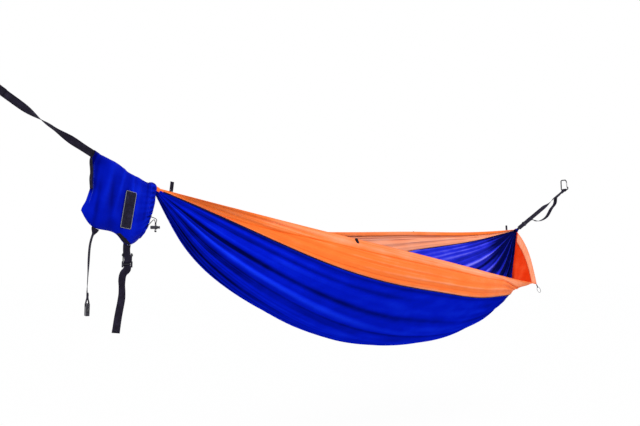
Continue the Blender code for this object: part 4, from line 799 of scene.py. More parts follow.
def neck_frame(end):
    """A neck's middle, and the directions outward, to its top and to its near side."""
    middle, place = ((HEAD_GATHER, head_strap_place), (FOOT_GATHER, foot_strap_place))[end]
    outward = unit(place(NECK_AIM) - place(0.0))
    top = unit(Z_AXIS - outward * outward[2])
    near = np.cross(top, outward) if end == 0 else np.cross(outward, top)
    return middle, outward, top, near


def on_neck(end, degrees):
    """Places round a neck: 0 degrees is its top and 90 its near side."""
    middle, _, top, near = neck_frame(end)
    turn = np.radians(np.array(degrees, float))[..., None]
    return middle + NECK_RADIUS * (np.cos(turn) * top + np.sin(turn) * near)


print("necks point", [neck_frame(end)[1].round(3).tolist() for end in (0, 1)])

# %% [markdown]
# ## The shape of the bed
# Five long lines carry the cloth: near edge, near seam, lowest line, far seam and far edge. Simulated cloth
# wouldn't find the photo's own lines. So they are given as (share of the span, across, height) from the head
# gather, and each row of the cloth crosses them.

# %% Long lines and rows
NEAR_EDGE = [(0.218, -0.25, -0.118), (0.493, -0.28, -0.209), (0.667, -0.27, -0.265),
             (0.94, -0.2, -0.333)]
NEAR_SEAM = [(0.06, -0.06, -0.055), (0.215, -0.27, -0.239), (0.482, -0.3, -0.355),
             (0.594, -0.3, -0.384), (0.713, -0.262, -0.388), (0.8, -0.2, -0.388),
             (0.862, -0.142, -0.368), (0.905, -0.09, -0.3), (0.952, -0.045, -0.19)]
KEEL = [(0.012, -0.03, -0.085), (0.04, -0.05, -0.19), (0.085, -0.055, -0.287), (0.17, -0.055, -0.412),
        (0.335, -0.05, -0.556), (0.54, -0.05, -0.604), (0.694, -0.05, -0.57), (0.83, -0.045, -0.48),
        (0.92, -0.035, -0.365), (0.97, -0.02, -0.21)]
FAR_SEAM = [(0.1, 0.11, -0.13), (0.25, 0.2, -0.185), (0.424, 0.235, -0.19), (0.6, 0.225, -0.165),
            (0.715, 0.2, -0.128), (0.87, 0.11, -0.072)]
FAR_EDGE = [(0.2, 0.18, -0.065), (0.424, 0.25, -0.067), (0.723, 0.22, -0.028), (0.88, 0.12, -0.014)]
CORNER_SAG = [(0.7, 0.0), (0.86, 0.11), (0.92, 0.13), (0.96, 0.1), (1.0, 0.0)]
# The free end bows outwards, level: direction, then share and reach
END_BOW_TO = np.array([0.693, -0.721, 0.0])
END_BOW = [(0.9, 0.0), (1.0, 0.05)]
BED_ROWS = 200
CENTER_COLUMNS = 216
BAND_COLUMNS = 76



def guide_lines():
    """The bed's five long lines as splines from neck to neck; the near edge ends at the free foot corner."""
    heads = (NEAR_EDGE_ANGLE, NEAR_SEAM_ANGLES[0], 180.0, FAR_SEAM_ANGLE, FAR_EDGE_ANGLE)
    feet = (None, NEAR_SEAM_ANGLES[1], 180.0, FAR_SEAM_ANGLE, FAR_EDGE_ANGLE)
    lines = []
    for points, head, foot in zip((NEAR_EDGE, NEAR_SEAM, KEEL, FAR_SEAM, FAR_EDGE), heads, feet):
        line = [from_gather(x * GATHER_SPAN, z, y) for x, y, z in points]
        end = [] if foot is None else [on_neck(1, foot)]
        lines.append(natural_spline([on_neck(0, head)] + line + end))
    return lines


def near_edge_places(edge, seam_x, shares):
    """The near edge's places: level with the seam, then falling back to the foot corner."""
    at = np.linspace(0, edge[1][-1], 400)
    places = on_spline(edge, at)
    back = (FOOT_GATHER[0] - places[-1, 0]) * eased(shares, [(0.3, 0.0), (1.0, 1.0)])
    return on_spline(edge, np.interp(seam_x - back, places[:, 0], at))


def neck_arcs(end):
    """One row of the bed lying round a neck: near band, centre panel and far band."""
    seam = NEAR_SEAM_ANGLES[end]
    spans = ((NEAR_EDGE_ANGLE, seam, BAND_COLUMNS), (seam, FAR_SEAM_ANGLE, CENTER_COLUMNS),
             (FAR_SEAM_ANGLE, FAR_EDGE_ANGLE, BAND_COLUMNS))
    return [on_neck(end, np.linspace(a, b, n + 1)) for a, b, n in spans]


def bed_sections(shares):
    """The rows of the near band, the panel and the far band, before their folds."""
    edge, *others = guide_lines()
    seams = [on_spline(line, shares * line[1][-1]) for line in others]
    nears = near_edge_places(edge, seams[0][:, 0], shares)
    near_rows, center_rows, far_rows = [], [], []
    f = np.linspace(0, 1, BAND_COLUMNS + 1)[:, None]
    w = 1 - f
    for i, share in enumerate(shares):
        near_seam, near = seams[0][i], nears[i]
        across = natural_spline([line[i] for line in seams])
        knots = across[1]
        center = on_spline(across, np.linspace(0, knots[2], CENTER_COLUMNS + 1))
        leaving = unit(center[0] - center[4]) * np.linalg.norm(near - near_seam) * 0.38
        fade = eased(share, [(0.78, 0.0), (0.92, 1.0)])
        low = near_seam + leaving * (1 - fade) + (near - near_seam) * 0.33 * fade
        high = near + (low - near) * 0.45 - Z_AXIS * eased(share, CORNER_SAG)
        bow = END_BOW_TO * eased(share, END_BOW)
        low, high = low + bow, high + bow * 0.3
        near_rows.append(w**3 * near + 3 * w * w * f * high + 3 * w * f * f * low + f**3 * near_seam)
        center_rows.append(center)
        far_rows.append(on_spline(across, np.linspace(knots[2], knots[3], BAND_COLUMNS + 1)))
    parts = [np.array(rows) for rows in (near_rows, center_rows, far_rows)]
    for end, close in ((0, shares), (1, 1 - shares)):
        hold = eased(close, [(0.0, 1.0), (0.03, 0.0)])[:, None, None]
        for k, arc in enumerate(neck_arcs(end)):
            if not (end == 1 and k == 0):
                parts[k] = parts[k] * (1 - hold) + arc[None] * hold
    parts[0][-1, -1] = parts[1][-1, 0]
    return parts


steps = np.linspace(0, 1, BED_ROWS + 1)
SHARES = 0.55 * steps + 0.45 * (1 - np.cos(math.pi * steps)) / 2
near_rows, center_rows, far_rows = bed_sections(SHARES)
print("rows", len(center_rows), "with", center_rows.shape[1], "points in the panel")

# %% [markdown]
# ## Folds
# A gathered cloth has eight main pleats that fan out from each neck, finer ones that die out sooner, and long
# pulls where the load runs. They change the outline, so they move the points, which a bump wouldn't. They
# also give the tone, which paints shade into each valley and a highlight onto each ridge.

# %% Fold heights and tones
# How many, heights at head and foot, reach from each, and greatest height as a share of a fold's width
PLEATS = (8, (0.009, 0.014), (0.2, 0.2), 0.17)
FINE_FOLDS = (21, (0.0032, 0.0052), (0.15, 0.17), 0.2)
HAIR_FOLDS = (52, (0.0014, 0.0018), (0.09, 0.09), 0.22)
CENTER_PULLS = 17
# Painted shade near the head: strength, place across, half width and reach
HEAD_SHADES = ((0.5, 0.46, 0.14, 0.27), (0.22, 0.2, 0.04, 0.36))
CLOTH_THICKNESS = 0.0011


def inside_normals(rows):
    """The unit normals of a grid of rows, towards the inside of the bed."""
    return level(np.cross(np.gradient(rows, axis=0), np.gradient(rows, axis=1)))


def girths(rows):
    """The length across each row."""
    return np.linalg.norm(np.diff(rows, axis=1), axis=2).sum(axis=1)


def near_end(distance, reach):
    """A strength that rises at once from the neck and dies out over the reach."""
    return np.exp(-distance / reach) * (1 - np.exp(-distance / 0.02))


def pointed(place):
    """A wave of sharp ridges and rounder valleys, between -1 and 1."""
    return 1 - 2 * (2 * abs((place + 0.25) % 1.0 - 0.5)) ** 0.8


def fold_envelope(s, g, count, heights, reaches, fullness):
    """How high one kind of fold may stand at each row."""
    risen = heights[0] * near_end(s, reaches[0]) + heights[1] * near_end(1 - s, reaches[1])
    return np.minimum(risen, g / count * fullness)


def center_folds(shares, girth):
    """The centre panel's fold heights, and its tone, which paints shade into creases and highlights onto
    ridges.
    """
    s, g = shares[:, None], girth[:, None]
    a = np.linspace(0, 1, CENTER_COLUMNS + 1)[None, :]
    place = a * PLEATS[0]
    fade = np.minimum(1.0, np.minimum(place, PLEATS[0] - place) / 2)
    envelope = fold_envelope(s, g, *PLEATS) * (1 + 0.35 * soft_noise(s * 0 + 1.5, place, 4))
    main = pointed(place + 0.06 * soft_noise(s * 6, a * 5, 3)) * fade
    fine_envelope = fold_envelope(s, g, *FINE_FOLDS)
    fine = pointed(a * FINE_FOLDS[0] + 0.5 * soft_noise(s * 4, a * 9, 5))
    fine = fine * (0.55 + 0.45 * soft_noise(s * 3, a * 21, 6))
    hair_envelope = fold_envelope(s, g, *HAIR_FOLDS)
    hair = pointed(a * HAIR_FOLDS[0] + 0.6 * soft_noise(s * 9, a * 14, 7))
    height = main * envelope + fine * fine_envelope + hair * hair_envelope
    # The tone paints shade into the creases and highlights onto the ridges.
    tone = main * np.minimum(envelope / 0.006, 1) * 0.32 + fine * np.minimum(fine_envelope / 0.002, 1) * 0.27
    tone += hair * np.minimum(hair_envelope / 0.0008, 1) * 0.08
    pulls = np.random.default_rng(11)
    for k in range(CENTER_PULLS):
        at = (k + 0.5) / CENTER_PULLS + pulls.uniform(-0.02, 0.02)
        drift = pulls.uniform(-0.05, 0.05)
        depth = pulls.choice([-1, 1, 1]) * pulls.uniform(0.0016, 0.0042)
        half = pulls.uniform(0.006, 0.016)
        stop = pulls.uniform(0.28, 0.85)
        reach = eased(shares, [(0.0, 0.0), (0.04, 1.0), (stop * 0.6, 0.8), (stop, 0.0), (1.0, 0.0)])[:, None]
        crease = reach * np.exp(-((a - at - drift * s) / half) ** 2)
        height = height + depth * crease * np.minimum(1, g / 0.3)
        tone = tone + np.sign(depth) * crease * 0.26
    # Painted shade near the head, along the keel and the near side.
    for strength, middle, half, reach in HEAD_SHADES:
        tone = tone + strength * np.exp(-((a - middle) / half) ** 2) * near_end(s, reach)
    cloud = soft_noise(s * 16, a * 34, 8)
    height = height + (cloud * 0.0011 + soft_noise(s * 44, a * 96, 9) * 0.0004) * np.minimum(1, g / 0.3)
    return height, 0.5 - tone - cloud * 0.07


def lifted(rows, height):
    """Rows moved along the surface's own normals, towards the inside."""
    return rows + inside_normals(rows) * height[:, :, None]


height, center_tone = center_folds(SHARES, girths(center_rows))
center_rows = lifted(center_rows, height)
print("folds from", height.min().round(4), "to", height.max().round(4), "m")

# %% [markdown]
# ## The side bands
# Each band has long creases and a doubled hem along its free edge. The hem could be a sheet of its own, but
# shaped in the band's points nothing can part. It stands a little proud, as doubled cloth does, and a sharp
# crease runs below it where it is sewn.

# %% Bands with their hems and rolled edges
BAND_CREASES = [(0.24, 0.006, 0.07), (0.58, 0.0045, 0.09), (0.82, 0.003, 0.08)]
BAND_PULLS = 9
HEM_WIDTH = 0.042
EDGE_ROLL_DEPTH = 0.022
EDGE_ROLL_WIDTH = 0.009
EDGE_ROLL_SINK = 0.001
ROLL_STEPS = 6
CALM_FROM = 0.82
CALM_PASSES = 90
CORNER_CALM = [(0.8, 0.0), (0.88, 1.0)]


def band_folds(rows, shares, seed):
    """A side band's fold heights and tone, counted across from its free edge; the tone paints shade and
    highlights on its creases.
    """
    g, s = girths(rows)[:, None], shares[:, None]
    a = np.linspace(0, 1, BAND_COLUMNS + 1)[None, :]
    d = a * g
    fade = (1 - np.exp(-np.minimum(s, 1 - s) / 0.04)) * np.minimum(1.0, g / 0.1)
    creases = [(depth, np.exp(-((a - at) / half) ** 2)) for at, depth, half in BAND_CREASES]
    height = sum(depth * crease for depth, crease in creases) * fade
    tone = -sum(depth / 0.006 * 0.13 * crease for depth, crease in creases) * fade
    pulls = np.random.default_rng(seed)
    for k in range(BAND_PULLS):
        at, drift = (k + 0.6) / BAND_PULLS + pulls.uniform(-0.03, 0.03), pulls.uniform(-0.16, 0.16)
        start, stop = sorted(pulls.uniform(0.0, 1.0, 2))
        half = pulls.uniform(0.012, 0.03)
        ends = (stop - start) * 0.35 + 0.03
        reach = eased(shares, [(-1.0, 0.0), (start, 0.0), (start + ends, 1.0), (stop + 0.2, 0.0), (3.0, 0.0)])
        crease = reach[:, None] * np.exp(-((a - at - drift * (s - 0.5)) / half) ** 2)
        size = pulls.choice([-1, 1]) * pulls.uniform(0.0012, 0.0028)
        height = height + size * crease * fade
        tone = tone - np.sign(size) * crease * fade * 0.15
    hem = np.clip(1 - abs(d / HEM_WIDTH * 2 - 1) ** 4, 0, 1)
    below = np.exp(-((d - HEM_WIDTH * 1.06) / 0.0026) ** 2)
    pucker = soft_noise(s * 190, d * 60, seed + 1)
    sewn = -0.0009 * hem + 0.0022 * below + 0.0005 * pucker * np.exp(-((d - HEM_WIDTH) / 0.012) ** 2)
    height = height + fade * sewn
    cloud = soft_noise(s * 15, a * 8, seed + 2)
    height = height + fade * (0.001 * cloud + 0.0004 * soft_noise(s * 42, a * 24, seed + 3))
    # Painted sheen on the doubled hem, fainter near the head, and painted shade in the crease below it.
    tone = tone + fade * (0.27 * hem * (1 - 0.7 * near_end(s, 0.16)) - 0.34 * below) + 0.07 * cloud
    return height, 0.5 + tone


def rolled_edge(rows, shares, free_end):
    """The points past a band's free edge, which turns in and hangs inside the band."""
    edge = rows[:, 0]
    down = level(rows[:, 4] - edge)
    run = np.gradient(edge, axis=0)
    side = level(np.cross(Z_AXIS, run)) * (1 if free_end else -1)
    grown = 1 - np.exp(-shares / 0.06)
    corner = np.zeros(len(shares))
    if free_end:
        corner = eased(shares, [(0.78, 0.0), (0.9, 1.0)])
    else:
        grown = grown * (1 - np.exp(-(1 - shares) / 0.06))
    inward = inside_normals(rows)[:, 0]
    way = level(side * (1 - corner)[:, None] + inward * corner[:, None])
    size = (1 - 0.6 * corner)[:, None]
    points = []
    for k in range(1, ROLL_STEPS + 1):
        f = k / ROLL_STEPS
        out = math.sin(min(f * 1.6, 1.0) * math.pi / 2)
        turned_in = (way * EDGE_ROLL_WIDTH * out + down * EDGE_ROLL_DEPTH * f * f * size * size) * size
        turned_in = turned_in - Z_AXIS * EDGE_ROLL_SINK * (1 - corner)[:, None] * f
        points.append(edge + turned_in * grown[:, None])
    return np.stack(points, axis=1)


def with_edge(rows, tone, shares, free_end):
    """A band with its rolled edge put before its first column."""
    roll = rolled_edge(rows, shares, free_end)[:, ::-1]
    # The rolled edge is a little paler than plain: painted sheen.
    return (np.concatenate([roll, rows], axis=1),
            np.concatenate([np.full(roll.shape[:2], 0.55), tone], axis=1))


def with_neck(rows, tone, ends):
    """The rows carried on along the necks they reach."""
    stretch = np.linspace(0, NECK_LENGTH, 5)[1:]
    for end in ends:
        more = rows[-end][None] + stretch[:, None, None] * neck_frame(end)[1]
        shade = np.repeat(tone[-end][None], len(stretch), axis=0)
        if end == 0:
            rows, tone = np.concatenate([more[::-1], rows]), np.concatenate([shade, tone])
        else:
            rows, tone = np.concatenate([rows, more]), np.concatenate([tone, shade])
    return rows, tone


def calmed(rows, shares, start, passes):
    """Rows whose kinks across are eased more and more from a share on."""
    amount = eased(shares, [(start, 0.0), (start + 0.07, 1.0)])[:, None, None]
    for _ in range(passes):
        soft = rows.copy()
        soft[:, 1:-1] = rows[:, 1:-1] * 0.5 + (rows[:, 2:] + rows[:, :-2]) * 0.25
        soft[1:-1] = soft[1:-1] * 0.5 + (soft[2:] + soft[:-2]) * 0.25
        rows = rows + (soft - rows) * amount
    return rows


near_rows[:, 1:-1] = calmed(near_rows, SHARES, CALM_FROM, CALM_PASSES)[:, 1:-1]
near_height, near_tone = band_folds(near_rows, SHARES, 21)
near_tone = near_tone - 0.06 * np.exp(-SHARES / 0.14)[:, None]
near_rows = lifted(near_rows, near_height * (1 - 0.85 * eased(SHARES, CORNER_CALM))[:, None])
far_rows = far_rows[:, ::-1]
far_height, far_tone = band_folds(far_rows, SHARES, 31)
far_rows = lifted(far_rows, -far_height)
far_tone = 0.5 + (far_tone - 0.5) * 0.55
print("near band is", girths(near_rows).max().round(3), "m deep at most")

# %% [markdown]
# ## Sewing up the bed
# The panels become three sheets. The near band turns over at the foot, so the camera looks onto its inner
# face there, which gets the darker corner finish: painted shade and light shining through. The far band's
# inner face, seen all along, gets the pale one: painted light.

# %% The three panels
# Cut sizes: widest and longest; each cut narrows towards its gathers
CENTER_FLAT = (0.9, 3.0)
NEAR_FLAT = (0.42, 2.94)
FAR_FLAT = (0.165, 2.74)
SEAM_GAP = 0.0004


def pulled_back(rows, column, neighbour):
    """One edge column drawn back from a seam, so that two panels don't touch."""
    rows = rows.copy()
    rows[:, column] += level(rows[:, neighbour] - rows[:, column]) * SEAM_GAP
    return rows


def tell_size(obj, rows):
    """Print how large a sheet is when laid flat."""
    long = np.linalg.norm(np.diff(rows, axis=0), axis=2).sum(axis=0).max()
    area = sum(face.area for face in obj.data.polygons)
    print(obj.name, girths(rows).max().round(3), "m across,", long.round(3), "m along,", round(area, 4), "m2")


near_edge_line, near_seam_line = near_rows[:, 0], near_rows[:, -1]
far_edge_line, far_seam_line = far_rows[:, 0], far_rows[:, -1]
near_side = inside_normals(near_rows)
center_rows = pulled_back(pulled_back(center_rows, 0, 1), -1, -2)
near_sheet = with_edge(pulled_back(near_rows, -1, -2), near_tone, SHARES, True)
far_sheet = with_edge(pulled_back(far_rows, -1, -2), far_tone, SHARES, False)
near_all = with_neck(*near_sheet, (0,))
center_all = with_neck(center_rows, center_tone, (0, 1))
far_all = with_neck(*far_sheet, (0, 1))
center_panel = cloth("center_panel_cloth", *center_all, (BLUE_OUT, BLUE_IN), CLOTH_THICKNESS, "blue_cloth",
                     CENTER_FLAT[0])
near_band = cloth("near_side_band_cloth", *near_all, (ORANGE_OUT, ORANGE_CORNER_PAINTED_LIGHT), CLOTH_THICKNESS,
                  "orange_cloth", NEAR_FLAT[0])
far_band = cloth("far_side_band_cloth", far_all[0][:, ::-1], far_all[1][:, ::-1], (ORANGE_OUT, ORANGE_IN),
                 CLOTH_THICKNESS, "orange_cloth", FAR_FLAT[0])
for obj in (center_panel, near_band, far_band):
    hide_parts(obj.name.replace("_cloth", ""))
for obj, rows in ((center_panel, center_all[0]), (near_band, near_all[0]), (far_band, far_all[0])):
    tell_size(obj, rows)

# %% [markdown]
# ## Seams, hem and stitching
# The panels meet in felled seams, which are narrow and firm; the tape's near-black is painted shade in the
# fold.
# Both sheets could be folded, but a flat tape over the join looks the same. Pale thread follows the near
# seam.
# The near band's free end is folded to the inside and sewn down with two rows.

# %% Seams and the foot end hem
SEAM_WIDTH = 0.0052
SEAM_THICKNESS = 0.0016
END_HEM_WIDTH = 0.075
END_HEM_ROWS = 9
END_HEM_SEARCH = 90


def seam(name, line, rows, out_of, inward):
    """A felled seam along a panel's edge, proud of its outer or inner face."""
    across = level(rows[:, -2] - rows[:, -1])
    path = line + inward * out_of
    kept = slice(4, -3)
    return strap(name, path[kept], across[kept], SEAM_WIDTH, BED, SEAM_THICKNESS, SEAM_CLOTH)


def end_hem_rows(rows, width, offset):
    """Rows on the inside of the band along its free end, from the end inwards."""
    back = rows[::-1][:END_HEM_SEARCH]
    inward = inside_normals(rows)[::-1][:END_HEM_SEARCH]
    steps = np.linspace(0, width, END_HEM_ROWS)
    return np.stack([read_along(steps, run_along(back[:, j]), back[:, j] + inward[:, j] * offset)
                     for j in range(rows.shape[1])], axis=1)


near_inward = near_side[:, -1]
far_inward = -inside_normals(far_rows)[:, -1]
near_seam = seam("near_seam_fold", near_seam_line, near_rows, -0.001, near_inward)
far_seam = seam("far_seam_fold", far_seam_line, far_rows, 0.001, far_inward)
piping_line = near_seam_line + level(near_rows[:, -2] - near_rows[:, -1]) * 0.0045 - near_inward * 0.0008
near_piping = stitch_row("near_seam_stitches", piping_line[6:], -near_inward[6:], BED, PALE_THREAD)
hem_columns = slice(2, -2)
hem_rows = end_hem_rows(near_rows, END_HEM_WIDTH, 0.0016)[:, hem_columns]
hem_along = np.linspace(0, 1, hem_rows.shape[1])[None, :]
hem_down = np.linspace(0, 1, END_HEM_ROWS)[:, None]
hem_swell = 0.001 + 0.0006 * soft_noise(hem_down * 2, hem_along * 40, 41)
hem_swell = np.clip(1 - abs(2 * hem_down - 1) ** 3, 0, 1) * hem_swell
hem_normals = -inside_normals(hem_rows)
hem_rows = hem_rows + hem_normals * hem_swell[:, :, None]
# Painted highlights where the hem swells.
hem_tone = 0.45 + 0.35 * hem_swell / 0.0016 + 0.06 * soft_noise(hem_down * 3, hem_along * 30, 42)
foot_hem = cloth("foot_end_hem_cloth", hem_rows, hem_tone, (HEM_PEACH, HEM_PEACH), 0.0009, "orange_cloth",
                 0.05)
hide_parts("foot_end_hem")
tell_size(foot_hem, hem_rows)
for label, row in (("outer", 1), ("inner", -2)):
    stitch_row(f"end_hem_stitches_{label}", hem_rows[row] + hem_normals[row] * 0.0006,
                                   hem_normals[row], BED, ORANGE_THREAD)
print("seams", run_along(near_seam_line)[-1].round(2), "m long")

# %% [markdown]
# Thread holds each edge hem: two rows on the near band's outer face and one on the far band's inner face,
# where they are seen. They keep a set distance below the edge.

# %% Hem stitching on both bands


def hem_stitching(name, rows, depth):
    """A stitch row that keeps a distance below a band's edge."""
    g = girths(rows)
    column = np.clip(depth / np.maximum(g, 0.03) * (rows.shape[1] - 1), 1, rows.shape[1] - 3)
    low = column.astype(int)
    part = (column - low)[:, None]
    picked = np.arange(len(rows))
    line = rows[picked, low] * (1 - part) + rows[picked, low + 1] * part
    outward = -inside_normals(rows)[picked, low]
    line = line + outward * CLOTH_THICKNESS / 2
    return stitch_row(name, line[6:-2], outward[6:-2], BED, ORANGE_THREAD)


band_stitches = [hem_stitching("near_hem_stitches", near_rows, HEM_WIDTH * 0.94),
                 hem_stitching("near_edge_stitches", near_rows, 0.003),
                 hem_stitching("far_hem_stitches", far_rows, HEM_WIDTH * 0.94)]
print("stitch rows", len(band_stitches))

# %% [markdown]
# ## Cloth drawn in at the necks
# A thin band closes each neck, and the photo shows cloth right up to the strap. So gathered cloth is shown,
# with the band's turns pressed into it. At the head the bands' orange lies over the panel's blue, and at the
# foot all of it is blue.

# %% The two closed necks
NECK_RINGS = 64
NECK_SIDES = 48
NECK_SPAN = (0.0028, 0.03)
NECK_TURNS = 6
NECK_SIZES = [(0.0, 0.0136), (0.05, 0.0146), (0.6, 0.0143), (0.86, 0.0118), (1.0, 0.006)]
FOOT_NECK_SIZE = 0.84
GROOVE_DEPTH = 0.0009
GROOVE_SWELL = 0.0004
NECK_BLUE_BELOW = -0.004


def neck_binding(end):
    """Gathered cloth round a neck, with the turns that close it pressed in."""
    middle, outward, top, near = neck_frame(end)
    name = ("head", "foot")[end]
    start, stop = NECK_SPAN
    rings, lengths = [], []
    around = np.linspace(0, math.tau, NECK_SIDES, endpoint=False)
    for along in np.linspace(start, stop, NECK_RINGS):
        f = (along - start) / (stop - start)
        phase = f * NECK_TURNS * math.tau - around
        size = eased(f, NECK_SIZES) * (1.0, FOOT_NECK_SIZE)[end]
        size = size - GROOVE_DEPTH * (np.cos(phase) > 0.93) - GROOVE_SWELL * np.cos(phase) ** 2
        rings.append(middle + outward * along + (np.cos(around) * size)[:, None] * top
                     + (np.sin(around) * size)[:, None] * near)
        lengths.append(np.stack([around * size, np.full(len(around), along)], axis=1))
    finishes = [(ORANGE_OUT, BLUE_OUT)[end], BLUE_OUT]
    made = put_mesh(f"{name}_binding", rings, grid_faces(NECK_RINGS, NECK_SIDES, wrap=True), finishes, BED,
                    lengths, np.full((NECK_RINGS, NECK_SIDES), 0.4), closed=True)
    for face in made.data.polygons:
        face.material_index = int((np.array(face.center) - middle) @ top < NECK_BLUE_BELOW)
    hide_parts(f"{name}_gather_wrap", f"{name}_gather_core")
    return made


bindings = [neck_binding(end) for end in (0, 1)]
print("closed necks", len(bindings))

# %% [markdown]
# ## Straps
# The straps are 25 mm webbing. The head strap twists three quarters of a turn, as a strap does when nobody
# straightens it, and its twist is read from a short table. Each ends in an eye round its carabiner, laid back
# on itself and sewn with two bartacks.

# %% The head and foot straps
WEBBING_WIDTH = 0.025
STRAP_END_WIDTH = 0.016
EYE_LENGTH = 0.045
EYE_SEAM = 0.04
EYE_LAYER = 0.0023
HEAD_STRAP_TWIST = [(0.0, 270.0), (0.33, 270.0), (0.41, 180.0), (0.455, 180.0), (0.633, 90.0), (0.8, 0.0),
                    (1.0, 0.0)]
FOOT_STRAP_TWIST = [(0.0, 54.0), (0.5, 54.0), (0.7, -36.0), (0.8, 0.0), (1.0, 0.0)]
STRAP_START = 0.0112
STRAP_SAMPLES = 150


def strap_twist(tangent, reference, degrees):
    """The way of a strap's width, turned about its length from a reference."""
    tangent = unit(tangent)
    flat = unit(reference - tangent * (reference @ tangent))
    turn = math.radians(float(degrees))
    return flat * math.cos(turn) + np.cross(tangent, flat) * math.sin(turn)


def eye_spots(eye, arriving, bar_axis, open_by):
    """Places along a strap's eye round a bar, with the end laid back on the strap."""
    up = unit(arriving - bar_axis * (arriving @ bar_axis))
    side = np.cross(up, bar_axis)
    r = BAR_RADIUS + TOUCH_GAP + WEBBING_THICKNESS / 2
    wide = r * open_by
    spots = [(-EYE_LENGTH, 0.0), (-EYE_LENGTH * 0.55, wide), (0.0, wide)]
    spots += [(r * math.sin(t), wide * math.cos(t)) for t in (math.pi / 4, math.pi / 2, 3 * math.pi / 4)]
    spots += [(0.0, -wide), (-EYE_LENGTH * 0.55, -wide)]
    spots += [(-EYE_LENGTH - EYE_SEAM * f, -EYE_LAYER) for f in (0.0, 0.2, 0.5, 1.0)]
    return [eye + up * a + side * b for a, b in spots], up, side


def suspension_strap(node, place, eye, bar_axis, twist):
    """A suspension strap from its neck to its sewn eye."""
    total = np.linalg.norm(eye - place(0.0))
    last = 1 - EYE_LENGTH / total
    shares = np.linspace(STRAP_START / total, last, STRAP_SAMPLES)
    path = [place(s) for s in shares]
    across = [strap_twist(place(s + 0.01) - place(s - 0.01), bar_axis, eased(s, twist)) for s in shares]
    widening = [(0.0, STRAP_END_WIDTH), (0.056, STRAP_END_WIDTH), (0.12, WEBBING_WIDTH)]
    widths = [eased(s * total, widening) for s in shares]
    spots, up, side = eye_spots(eye, unit(eye - place(last)), bar_axis, 1.3)
    loop = fine_path(spots, 8)[1:]
    path += list(loop)
    across += [bar_axis] * len(loop)
    widths += [WEBBING_WIDTH] * len(loop)
    made = strap(f"{node}_webbing", path, across, widths, BED)
    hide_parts(node)
    for label, back in (("outer", 0.008), ("inner", 0.03)):
        spot = eye - up * (EYE_LENGTH + back) - side * EYE_LAYER
        bartack(f"{node}_webbing_bartack_{label}", spot, up, bar_axis, 0.019, 0.007, BED)


def foot_across(share):
    """The way of the foot strap's width at a share of its length."""
    return strap_twist(FOOT_EYE - FOOT_GATHER, Y_AXIS, eased(share, FOOT_STRAP_TWIST))


suspension_strap("head_strap", head_strap_place, head_eye(), head_carabiner_frame()[1], HEAD_STRAP_TWIST)
suspension_strap("foot_strap", foot_strap_place, FOOT_EYE, Y_AXIS, FOOT_STRAP_TWIST)
print("head strap", np.linalg.norm(head_eye() - HEAD_GATHER).round(3), "m long")

# %% [markdown]
# The foot strap has a second leg. It lies on the taut one through the keeper, sags away from it, and is sewn
# back on above. Its sag is a few listed places in metres from the foot neck.

# %% The slack leg
TAIL_LOWER = (0.075, 0.27)
TAIL_UPPER = (0.8, 0.86)
TAIL_SAG = [(0.31, 0.087), (0.384, 0.096), (0.485, 0.137), (0.559, 0.197), (0.62, 0.247)]
LAYER = WEBBING_THICKNESS + TOUCH_GAP


def slack_leg():
    """The slack leg of the foot strap, sewn to the taut one at both ends."""
    reach = FOOT_EYE - FOOT_GATHER
    along = unit(reach)
    path, across = [], []
    for span, sags in ((TAIL_LOWER, TAIL_SAG), (TAIL_UPPER, [])):
        for share in np.linspace(*span, 7):
            width = foot_across(share)
            path.append(foot_strap_place(share) - np.cross(along, width) * (LAYER + TOUCH_GAP))
            across.append(width)
        for x, z in sags:
            path.append(FOOT_GATHER + np.array([x, reach[1] / reach[0] * x, z]))
            across.append(Y_AXIS)
    each = 8
    fine = fine_path(path, each)
    widths = read_along(np.arange(len(fine)) / each, np.arange(len(path)), np.array(across))
    made = strap("foot_strap_tail_webbing", fine, widths, WEBBING_WIDTH, BED)
    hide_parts("foot_strap_tail")
    for share, label in ((0.09, "lower"), (0.845, "upper")):
        width = foot_across(share)
        back = -np.cross(along, width)
        spot = foot_strap_place(share) + back * (LAYER + TOUCH_GAP)
        bartack(f"foot_tail_bartack_{label}", spot, np.cross(back, width), width, 0.019, 0.007, BED)
    return made


tail = slack_leg()
print("slack leg vertices", len(tail.data.vertices))

# %% [markdown]
# ## Carabiners and their wire gates
# The body is one bent bar with a drilled end for the wire. The wire's feet sit a little apart, which is what
# springs it shut. Both are swept again here, so that their bends stay round close to. Each rides on its own
# body.

# %% Carabiners
CORNER_RADIUS = 0.009
NOSE_HEIGHT = 0.019
NOSE_LEAN = 0.003
PIVOT_DROP = 0.015
PIVOT_OUT = 0.04
BAR_END = 0.0038
WIRE_RADIUS = 0.0012
FOOT_INSET = 0.0026


